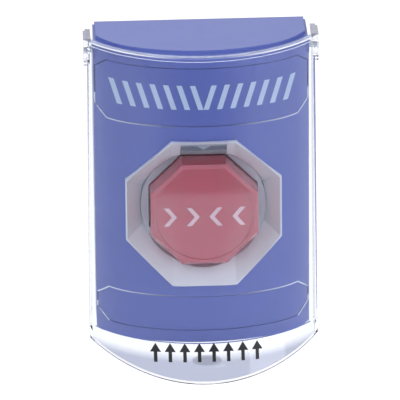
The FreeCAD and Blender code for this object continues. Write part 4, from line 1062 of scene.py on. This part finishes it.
def mark_recipe() -> GeometryRecipe:
    """Build the tree that repeats a printed mark along a bowed face.

    Returns:
        The recipe.
    """
    recipe = GeometryRecipe("printed_marks")
    graph = recipe.graph
    count = recipe.number("Count", "NodeSocketInt")
    pitch, level, curve, bow, depth, lean, shoulder, shoulder_start = (recipe.number(label) for label in (
        "Pitch", "Level", "Row Curve", "Bow Radius", "Depth", "Lean", "Shoulder Radius", "Shoulder Start"))
    span = graph.maths("MULTIPLY", pitch, graph.maths("SUBTRACT", count, 1.0))
    start = graph.add("ShaderNodeCombineXYZ", {"X": graph.maths("MULTIPLY", span, -0.5)}).outputs[0]
    step = graph.add("ShaderNodeCombineXYZ", {"X": pitch}).outputs[0]
    line = graph.add("GeometryNodeMeshLine", {"Count": count, "Start Location": start, "Offset": step},
                     mode="OFFSET")
    place = graph.add("ShaderNodeSeparateXYZ", {0: graph.add("GeometryNodeInputPosition").outputs[0]})
    facing = graph.maths("SIGN", place.outputs["X"])
    scale = graph.add("ShaderNodeCombineXYZ", {"X": facing, "Y": 1.0, "Z": 1.0}).outputs[0]
    splits = 3
    fine = graph.add("GeometryNodeTriangulate", {0: recipe.source.outputs["Geometry"]}).outputs[0]
    fine = graph.add("GeometryNodeSubdivideMesh", {"Mesh": fine, "Level": splits}).outputs[0]
    copies = graph.add("GeometryNodeInstanceOnPoints",
                       {"Points": line.outputs["Mesh"], "Instance": fine, "Scale": scale}).outputs[0]
    real = graph.add("GeometryNodeRealizeInstances", {0: copies}).outputs[0]
    across = graph.maths("ABSOLUTE", place.outputs["X"])
    squared = graph.maths("MULTIPLY", across, across)
    height = graph.maths("ADD", place.outputs["Z"],
                         graph.maths("ADD", level, graph.maths("MULTIPLY", squared, curve)))
    front = graph.maths("SUBTRACT", bow, graph.maths(
        "SQRT", graph.maths("SUBTRACT", graph.maths("MULTIPLY", bow, bow), squared)))
    sine = graph.maths("DIVIDE", shoulder_start, bow)
    cosine = graph.maths("SQRT", graph.maths("SUBTRACT", 1.0, graph.maths("MULTIPLY", sine, sine)))
    reach = graph.maths("SUBTRACT", bow, shoulder)
    offset = graph.maths("SUBTRACT", across, graph.maths("MULTIPLY", reach, sine))
    side = graph.maths("SUBTRACT", graph.maths("SUBTRACT", bow, graph.maths("MULTIPLY", reach, cosine)),
                       graph.maths("SQRT", graph.maths(
                           "SUBTRACT", graph.maths("MULTIPLY", shoulder, shoulder),
                           graph.maths("MULTIPLY", offset, offset))))
    beyond = graph.maths("GREATER_THAN", across, shoulder_start)
    factor, inside, outside = 0, 2, 3
    sag = graph.add("ShaderNodeMix", {factor: beyond, inside: front, outside: side}).outputs[0]
    slope = graph.maths("MULTIPLY", lean, graph.maths("SUBTRACT", height, level))
    ahead = graph.maths("SUBTRACT", graph.maths("ADD", sag, slope), depth)
    spot = graph.add("ShaderNodeCombineXYZ", {"X": place.outputs["X"], "Y": ahead, "Z": height}).outputs[0]
    bent = graph.add("GeometryNodeSetPosition", {"Geometry": real, "Position": spot}).outputs[0]
    recipe.close(bent)
    return recipe


@dataclass
class Marks:
    """Plain printed marks that stand where the station has its words.

    Attributes:
        stripe_width: Width of a slanted stripe on the upper label.
        stripe_height: Height of the stripes.
        stripe_slant: Sideways lean of a stripe.
        stripe_pitch: From one stripe to the next.
        stripe_count: Stripes in the row.
        stripe_level: Height of the row's middle.
        label_drop: How far the label lies behind the housing's front.
        chevron_height: Height of the button's chevrons.
        chevron_width: Width of a chevron without its stroke.
        chevron_stroke: Width of its stroke.
        chevron_pitch: From one chevron to the next.
        chevron_count: Chevrons in the row.
        chevron_level: Height of the row's middle.
        button_depth: How far the button's face stands in front of the wall.
        flat_bow: Bow radius of a row that is as good as flat.
        arrow_width: Width of an arrow on the lip.
        arrow_height: Height of the arrows.
        arrow_head: Height of an arrow's head.
        arrow_stem: Width of its stem.
        arrow_pitch: From one arrow to the next.
        arrow_count: Arrows in the row.
        arrow_level: Height of the row's middle.
        arrow_curve: Rise of the row at a metre from its middle, in metres; below zero it drops.
        lift: How far the ink stands in front of its face.
    """

    stripe_width: float = 2.1
    stripe_height: float = 10.2
    stripe_slant: float = 3.2
    stripe_pitch: float = 5.25
    stripe_count: int = 14
    stripe_level: float = 43.0
    label_drop: float = 0.1
    chevron_height: float = 7.8
    chevron_width: float = 3.2
    chevron_stroke: float = 2.0
    chevron_pitch: float = 9.0
    chevron_count: int = 4
    chevron_level: float = -7.0
    button_depth: float = 37.95
    flat_bow: float = 1000.0
    arrow_width: float = 4.4
    arrow_height: float = 6.8
    arrow_head: float = 3.2
    arrow_stem: float = 1.4
    arrow_pitch: float = 5.8
    arrow_count: int = 8
    arrow_level: float = -62.0
    arrow_curve: float = -1.9
    lift: float = 0.03

    def build(self, paints: Paintbox) -> None:
        """Make the three rows of marks.

        Args:
            paints: The finishes.
        """
        recipe = mark_recipe()
        bow = FRONT.bow - self.label_drop
        self._row(recipe, paints, "label_marks", self._stripe(), "mark_pale", "base", {
            "Count": self.stripe_count, "Pitch": self.stripe_pitch * MM, "Level": self.stripe_level * MM,
            "Row Curve": 0.0, "Bow Radius": bow * MM,
            "Depth": (FRONT.depth - self.label_drop + self.lift) * MM, "Lean": 0.0,
            "Shoulder Radius": (FRONT.shoulder - self.label_drop) * MM,
            "Shoulder Start": bow * math.sin(math.radians(FRONT.bow_angle)) * MM})
        self._row(recipe, paints, "button_marks", self._chevron(), "mark_rose", "button", {
            "Count": self.chevron_count, "Pitch": self.chevron_pitch * MM, "Level": self.chevron_level * MM,
            "Row Curve": 0.0, "Bow Radius": self.flat_bow * MM,
            "Depth": (self.button_depth + self.lift) * MM, "Lean": 0.0,
            "Shoulder Radius": self.flat_bow * MM, "Shoulder Start": self.flat_bow / 2 * MM})
        self._row(recipe, paints, "lip_marks", self._arrow(), "mark_black", "shield", {
            "Count": self.arrow_count, "Pitch": self.arrow_pitch * MM, "Level": self.arrow_level * MM,
            "Row Curve": self.arrow_curve, "Bow Radius": LIP.bow * MM,
            "Depth": (self.lift - LIP.level(0.0, self.arrow_level)) * MM, "Lean": LIP.slope,
            "Shoulder Radius": LIP.bow * MM, "Shoulder Start": LIP.half * MM})

    def _row(self, recipe: GeometryRecipe, paints: Paintbox, name: str,
             outline: list[tuple[float, float]], slot: str, body: str, values: dict) -> None:
        """Make one row of marks and let it ride on its body.

        Args:
            recipe: The tree that repeats the mark.
            paints: The finishes.
            name: The row's name.
            outline: One mark's outline in millimetres.
            slot: The ink's finish.
            body: The body that carries the row.
            values: The tree's inputs.
        """
        values["Finish"] = paints.material(slot)
        row = recipe.make(name, outline_mesh(name, outline), values)
        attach(row, body)
        LOG.info("%s: %d faces on %s", name, len(row.data.polygons), body)

    def _stripe(self) -> list[tuple[float, float]]:
        """Give a slanted stripe's outline, leaning towards the middle at its foot."""
        half, rise, lean = self.stripe_width / 2, self.stripe_height / 2, self.stripe_slant / 2
        return [(-half - lean, -rise), (half - lean, -rise), (half + lean, rise), (-half + lean, rise)]

    def _chevron(self) -> list[tuple[float, float]]:
        """Follow a chevron that points to the middle from the right.

        Returns:
            The outline's corners.
        """
        back, rise, stroke = self.chevron_width / 2, self.chevron_height / 2, self.chevron_stroke
        return [(-back - stroke / 2, 0.0), (back - stroke / 2, -rise), (back + stroke / 2, -rise),
                (-back + stroke / 2, 0.0), (back + stroke / 2, rise), (back - stroke / 2, rise)]

    def _arrow(self) -> list[tuple[float, float]]:
        """Follow an upward arrow.

        Returns:
            The outline's corners.
        """
        half, rise, stem = self.arrow_width / 2, self.arrow_height / 2, self.arrow_stem / 2
        neck = rise - self.arrow_head
        return [(-stem, -rise), (stem, -rise), (stem, neck), (half, neck), (0.0, rise), (-half, neck),
                (-stem, neck)]


@dataclass
class EdgeTrim:
    """Painted highlights on the polished edges of the shield and the labels, and the cover over the window
    notch.

    Attributes:
        rim_bow: Radius of the shield rim's outer face.
        rim_centre: How far behind the wall plane that radius has its centre.
        rim_wall: Width of the rim from front to back.
        rim_half: Half width of the rim.
        rim_level: Height of the rim's top.
        rim_highlight_height: Height of the painted highlight on the rim's outer face.
        rim_inset: How far the lights stay inside the rim's edges.
        lip_radius: Radius of the lip's outline.
        lip_low: Height of the lip's lowest point.
        lip_highlight_half: Half width of the painted highlight on the lip.
        lip_highlight_insets: How far inside the outline the painted highlight's two edges run.
        label_half: Half width of the label fields.
        label_corner: Size of the fields' cut corners.
        label_highlight_width: Width of the painted highlight on the fields' edges.
        label_step: Longest straight length of that light.
        upper_rise: How far the light climbs the upper field's sides, in corners.
        lower_rise: The same for the lower field.
        upper_label: Bottom and top of the upper field.
        lower_label: Bottom and top of the lower field.
        notch: Half width, bottom and top of the notch above the window.
        steps: Lengths from the middle to the end of a strip on the shield.
        notch_steps: The same for the cover over the notch.
        proud: How far a line stands in front of its face.
    """

    rim_bow: float = 57.7
    rim_centre: float = 14.6
    rim_wall: float = 2.1
    rim_half: float = 43.4
    rim_level: float = 62.6
    rim_highlight_height: float = 0.6
    rim_inset: float = 0.06
    lip_radius: float = 115.8
    lip_low: float = -73.4
    lip_highlight_half: float = 44.0
    lip_highlight_insets: tuple[float, float] = (0.3, 1.1)
    label_half: float = 41.95
    label_corner: float = 4.4
    label_highlight_width: float = 0.5
    label_step: float = 1.5
    upper_rise: float = 2.0
    lower_rise: float = 1.5
    upper_label: tuple[float, float] = (30.55, 55.45)
    lower_label: tuple[float, float] = (-57.25, -42.35)
    notch: tuple[float, float, float] = (9.8, 24.3, 25.0)
    steps: int = 32
    notch_steps: int = 12
    proud: float = 0.02

    def build(self, paints: Paintbox) -> None:
        """Make every strip and let it ride on its body.

        Args:
            paints: The finishes.
        """
        self._rim_lights(paints)
        # A painted highlight runs just inside the lip's edge.
        self._place(paints, "lip_edge_highlight", "lip_bright", "shield", [self._lip_highlight()])
        self._label_lights(paints)
        half, bottom, top = self.notch
        self._place(paints, "notch_cover", "housing_blue", "base", [
            [tuple((x, FRONT.level(x) - self.proud, height) for height in (bottom, top))
             for x in self._across(half, self.notch_steps)]])

    def _rim_lights(self, paints: Paintbox) -> None:
        """Make the painted highlights on the rim's top and on its outer face.

        Args:
            paints: The finishes.
        """
        inset = self.rim_inset
        top = self.rim_level - inset
        self._place(paints, "rim_top_sheen", "rim_painted_sheen", "shield", [self._rim(
            (self.rim_bow - inset, top), (self.rim_bow - self.rim_wall + inset, top))])
        front = self.rim_bow + self.proud
        self._place(paints, "rim_front_highlight", "rim_bright", "shield", [self._rim(
            (front, top - self.rim_highlight_height), (front, top))])

    def _label_lights(self, paints: Paintbox) -> None:
        """Make the painted highlights along the label fields' edges.

        Args:
            paints: The finishes.
        """
        low, high, cut, half = *self.upper_label, self.label_corner, self.label_half
        rise = self.upper_rise * cut
        upper = [(-half, low + rise), (-half, low + cut), (-half + cut, low), (half - cut, low),
                 (half, low + cut), (half, low + rise)]
        low, high = self.lower_label
        rise = self.lower_rise * cut
        under = [(-half, high - cut), (-half + cut, high), (half - cut, high), (half, high - cut)]
        feet = [[(side.value * half, low + rise), (side.value * half, low + cut),
                 (side.value * (half - cut), low)] for side in Side]
        self._place(paints, "label_edge_highlights", "label_bright", "base",
                    [self._field_highlight(line) for line in (upper, under, *feet)])

    def _across(self, half: float, steps: int) -> list[float]:
        """Give even places along X for a strip's half width and its steps to each side."""
        return [half * (step / steps - 1.0) for step in range(2 * steps + 1)]

    def _rim(self, first: tuple[float, float], second: tuple[float, float]) -> list:
        """Follow the rim's bow with two edges, each given by its radius and height.

        Args:
            first: Radius and height of one edge.
            second: Radius and height of the other.

        Returns:
            Pairs of points along the rim.
        """
        return [tuple((across, self.rim_centre - math.sqrt(radius ** 2 - across ** 2), level)
                      for radius, level in (first, second))
                for across in self._across(self.rim_half, self.steps)]

    def _lip_highlight(self) -> list:
        """Follow the lip's outline on its sloping front, a little inside the edge, for the painted
        highlight.

        Returns:
            Pairs of points along the lip.
        """
        pairs = []
        for across in self._across(self.lip_highlight_half, self.steps):
            pair = []
            for inside in self.lip_highlight_insets:
                radius = self.lip_radius - inside
                level = self.lip_low + self.lip_radius - math.sqrt(radius ** 2 - across ** 2)
                pair.append((across, LIP.level(across, level) - self.proud, level))
            pairs.append(tuple(pair))
        return pairs

    def _field_highlight(self, corners: list[tuple[float, float]]) -> list:
        """Follow a part of a label field's outline on the bowed front, for the painted highlight.

        Args:
            corners: The corners across and up.

        Returns:
            Pairs of points along the line.
        """
        points = []
        for (x0, z0), (x1, z1) in zip(corners, corners[1:]):
            count = max(1, round(math.hypot(x1 - x0, z1 - z0) / self.label_step))
            points += [(x0 + (x1 - x0) * step / count, z0 + (z1 - z0) * step / count)
                       for step in range(count)]
        points.append(corners[-1])
        pairs = []
        for index, (x, z) in enumerate(points):
            before, after = points[max(0, index - 1)], points[min(len(points) - 1, index + 1)]
            run, rise = after[0] - before[0], after[1] - before[1]
            length = math.hypot(run, rise)
            aside = (-rise / length * self.label_highlight_width / 2, run / length * self.label_highlight_width / 2)
            pairs.append(tuple((x + side.value * aside[0],
                                FRONT.level(x + side.value * aside[0]) - self.proud,
                                z + side.value * aside[1]) for side in Side))
        return pairs

    def _place(self, paints: Paintbox, name: str, slot: str, body: str, strips: list) -> None:
        """Make one mesh of several strips and let it ride on a body.

        Args:
            paints: The finishes.
            name: The piece's name.
            slot: Its finish.
            body: The body that carries it.
            strips: For each strip, its pairs of points in millimetres.
        """
        corners, faces = [], []
        for strip in strips:
            first = len(corners)
            corners += [tuple(value * MM for value in point) for pair in strip for point in pair]
            faces += [(first + 2 * step, first + 2 * step + 2, first + 2 * step + 3, first + 2 * step + 1)
                      for step in range(len(strip) - 1)]
        mesh = bpy.data.meshes.new(name)
        mesh.from_pydata(corners, [], faces)
        trim = put(name, mesh)
        paints.dress(trim, slot)
        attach(trim, body)
        LOG.info("%s: %d faces on %s", name, len(mesh.polygons), body)


@dataclass(frozen=True)
class Lamp:
    """A soft square lamp.

    Attributes:
        name: Its name.
        place: Where it hangs, in metres.
        width: Its width in metres.
        power: Its power in watts.
    """

    name: str
    place: tuple[float, float, float]
    width: float
    power: float


@dataclass
class Studio:
    """Floor, light and camera.

    Attributes:
        azimuth: Degrees that the camera stands to the right of the front.
        elevation: Degrees above the level.
        roll: Degrees that the picture is turned.
        distance: From the camera to its reference point, in millimetres.
        scale: Picture points for each millimetre at the reference point.
        reference: The reference point in millimetres.
        spot: Where the reference point lies in the picture, in points.
        frame_size: The picture's width in points.
        sensor: The width of the camera's sensor in millimetres.
        view_end: How far the camera sees.
        floor_level: Height of the floor.
        floor_front: The Y of the floor's front edge.
        floor_reach: How far the floor goes back and to each side.
        floor_shade: How light the floor is, and the card at its ends.
        floor_glow: Light added to the floor where the camera sees it.
        dullness: Roughness of floor and card.
        card_length: How far the card comes forward from the floor.
        card_fade: Distances from the middle between which the card turns light.
        card_grey: How light the card's middle is.
        world_light: Strength of the sky as light.
        reflected_light: Strength of the sky in the gloss.
        lamps: The soft lamps.
    """

    azimuth: float = -2.617
    elevation: float = 22.759
    roll: float = 0.477
    distance: float = 2643.0
    scale: float = 2.510
    reference: tuple[float, float, float] = (0.0, -20.0, 0.0)
    spot: tuple[float, float] = (202.279, 182.611)
    frame_size: float = 400.0
    sensor: float = 36.0
    view_end: float = 20000.0
    floor_level: float = -300.0
    floor_front: float = -755.0
    floor_reach: float = 4000.0
    floor_shade: float = 0.9
    floor_glow: float = 0.25
    dullness: float = 0.9
    card_length: float = 700.0
    card_fade: tuple[float, float] = (200.0, 700.0)
    card_grey: float = 0.4
    world_light: float = 0.7
    reflected_light: float = 0.2
    lamps: tuple[Lamp, ...] = (
        Lamp("key", (-0.7, -1.0, 1.3), 0.9, 11.0),
        Lamp("fill", (1.2, -0.9, 0.5), 0.8, 7.5),
        Lamp("back", (0.0, 1.6, 1.0), 1.4, 6.0),
    )

    def build(self) -> None:
        """Make the camera, the light and the floor."""
        self._camera()
        self._world()
        self._lamps()
        self._floor()
        self._card()

    def _camera(self) -> None:
        """Put the camera where the photograph was taken from."""
        turn, rise, roll = (math.radians(v) for v in (self.azimuth, self.elevation, self.roll))
        ahead = Vector((-math.sin(turn) * math.cos(rise), math.cos(turn) * math.cos(rise), -math.sin(rise)))
        right = Vector((math.cos(turn), math.sin(turn), 0.0))
        up = right.cross(ahead)
        turned_right = right * math.cos(roll) - up * math.sin(roll)
        turned_up = right * math.sin(roll) + up * math.cos(roll)
        data = bpy.data.cameras.new("camera")
        data.sensor_width = self.sensor
        data.lens = self.scale * self.distance / self.frame_size * self.sensor
        data.shift_x = (self.frame_size / 2 - self.spot[0]) / self.frame_size
        data.shift_y = (self.spot[1] - self.frame_size / 2) / self.frame_size
        data.clip_end = self.view_end * MM
        camera = put("camera", data)
        turned = Matrix((turned_right, turned_up, -ahead)).transposed().to_4x4()
        stand = Matrix.Translation((Vector(self.reference) - ahead * self.distance) * MM)
        camera.matrix_world = stand @ turned
        bpy.context.scene.camera = camera

    def _world(self) -> None:
        """Make an even pale sky that looks white where the camera sees it."""
        world = bpy.data.worlds.new("studio")
        world.use_nodes = True
        bpy.context.scene.world = world
        graph = Graph(world.node_tree)
        world.node_tree.nodes.clear()
        white = (1.0, 1.0, 1.0, 1.0)
        rays = graph.add("ShaderNodeLightPath")
        dimmer = graph.maths(
            "MULTIPLY", rays.outputs["Is Glossy Ray"], self.reflected_light - self.world_light)
        light = graph.add("ShaderNodeBackground", {
            "Color": white, "Strength": graph.maths("ADD", dimmer, self.world_light)})
        seen = graph.add("ShaderNodeBackground", {"Color": white, "Strength": 1.0})
        direct = graph.maths("MAXIMUM", rays.outputs["Is Camera Ray"], rays.outputs["Is Transmission Ray"])
        mix = graph.add("ShaderNodeMixShader", {0: direct, 1: light.outputs[0], 2: seen.outputs[0]})
        graph.add("ShaderNodeOutputWorld", {"Surface": mix.outputs[0]})

    def _lamps(self) -> None:
        """Hang the soft lamps."""
        for lamp in self.lamps:
            data = bpy.data.lights.new(lamp.name, "AREA")
            data.shape = "SQUARE"
            data.size = lamp.width
            data.energy = lamp.power
            hung = put(lamp.name, data)
            towards = (-Vector(lamp.place)).to_track_quat("-Z", "Y")
            hung.matrix_world = Matrix.Translation(lamp.place) @ towards.to_matrix().to_4x4()

    def _sheet(self, name: str, finish: str, half: float, near: float,
               far: float) -> tuple[bpy.types.Object, Graph]:
        """Lay a level sheet with a dull finish of its own.

        Args:
            name: The sheet's name.
            finish: The name of its finish.
            half: Half its width in millimetres.
            near: The Y of its front edge in millimetres.
            far: The Y of its back edge in millimetres.

        Returns:
            The sheet and its finish's graph.
        """
        mesh = bpy.data.meshes.new(name)
        corners = [(-half, near), (half, near), (half, far), (-half, far)]
        mesh.from_pydata([(x * MM, y * MM, self.floor_level * MM) for x, y in corners], [], [(0, 1, 2, 3)])
        sheet = put(name, mesh)
        material = bpy.data.materials.new(finish)
        material.use_nodes = True
        material.node_tree.nodes["Principled BSDF"].inputs["Roughness"].default_value = self.dullness
        sheet.data.materials.append(material)
        return sheet, Graph(material.node_tree)

    def _floor(self) -> None:
        """Lay a plain pale floor well below the station."""
        floor, graph = self._sheet(
            "floor", "floor_white", self.floor_reach, self.floor_front, self.floor_reach)
        shader = graph.tree.nodes["Principled BSDF"]
        shader.inputs["Base Color"].default_value = (*[self.floor_shade] * 3, 1.0)
        rays = graph.add("ShaderNodeLightPath")
        seen = graph.maths("MAXIMUM", rays.outputs["Is Camera Ray"], rays.outputs["Is Transmission Ray"])
        glow = graph.maths("MULTIPLY", seen, self.floor_glow)
        shader.inputs["Emission Color"].default_value = (1.0, 1.0, 1.0, 1.0)
        graph.feed(shader, "Emission Strength", glow)

    def _card(self) -> None:
        """Lay a grey card in front of the floor, out of sight, for the gloss to mirror."""
        middle, ends = self.card_fade
        card, graph = self._sheet(
            "grey_card", "card_grey", ends, self.floor_front - self.card_length, self.floor_front)
        shade = graph.add("ShaderNodeMapRange", {
            "Value": graph.maths("ABSOLUTE", graph.side_and_height()[0]), "From Min": middle * MM,
            "From Max": ends * MM, "To Min": self.card_grey, "To Max": self.floor_shade}).outputs["Result"]
        colour = graph.add("ShaderNodeCombineXYZ", {"X": shade, "Y": shade, "Z": shade}).outputs[0]
        graph.feed(graph.tree.nodes["Principled BSDF"], "Base Color", colour)


def main() -> None:
    """Build the station's looks in order and report each piece."""
    logging.basicConfig(level=logging.INFO, format="%(name)s: %(message)s")
    bpy.context.scene.view_settings.view_transform = "Standard"
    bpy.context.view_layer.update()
    Studio().build()
    paints = Paintbox()
    paints.dress_nodes(frame["record"])
    Marks().build(paints)
    EdgeTrim().build(paints)
    ScrewDrives().build(paints)
    ReturnSpring().build(paints)


if __name__ == "__main__":
    main()
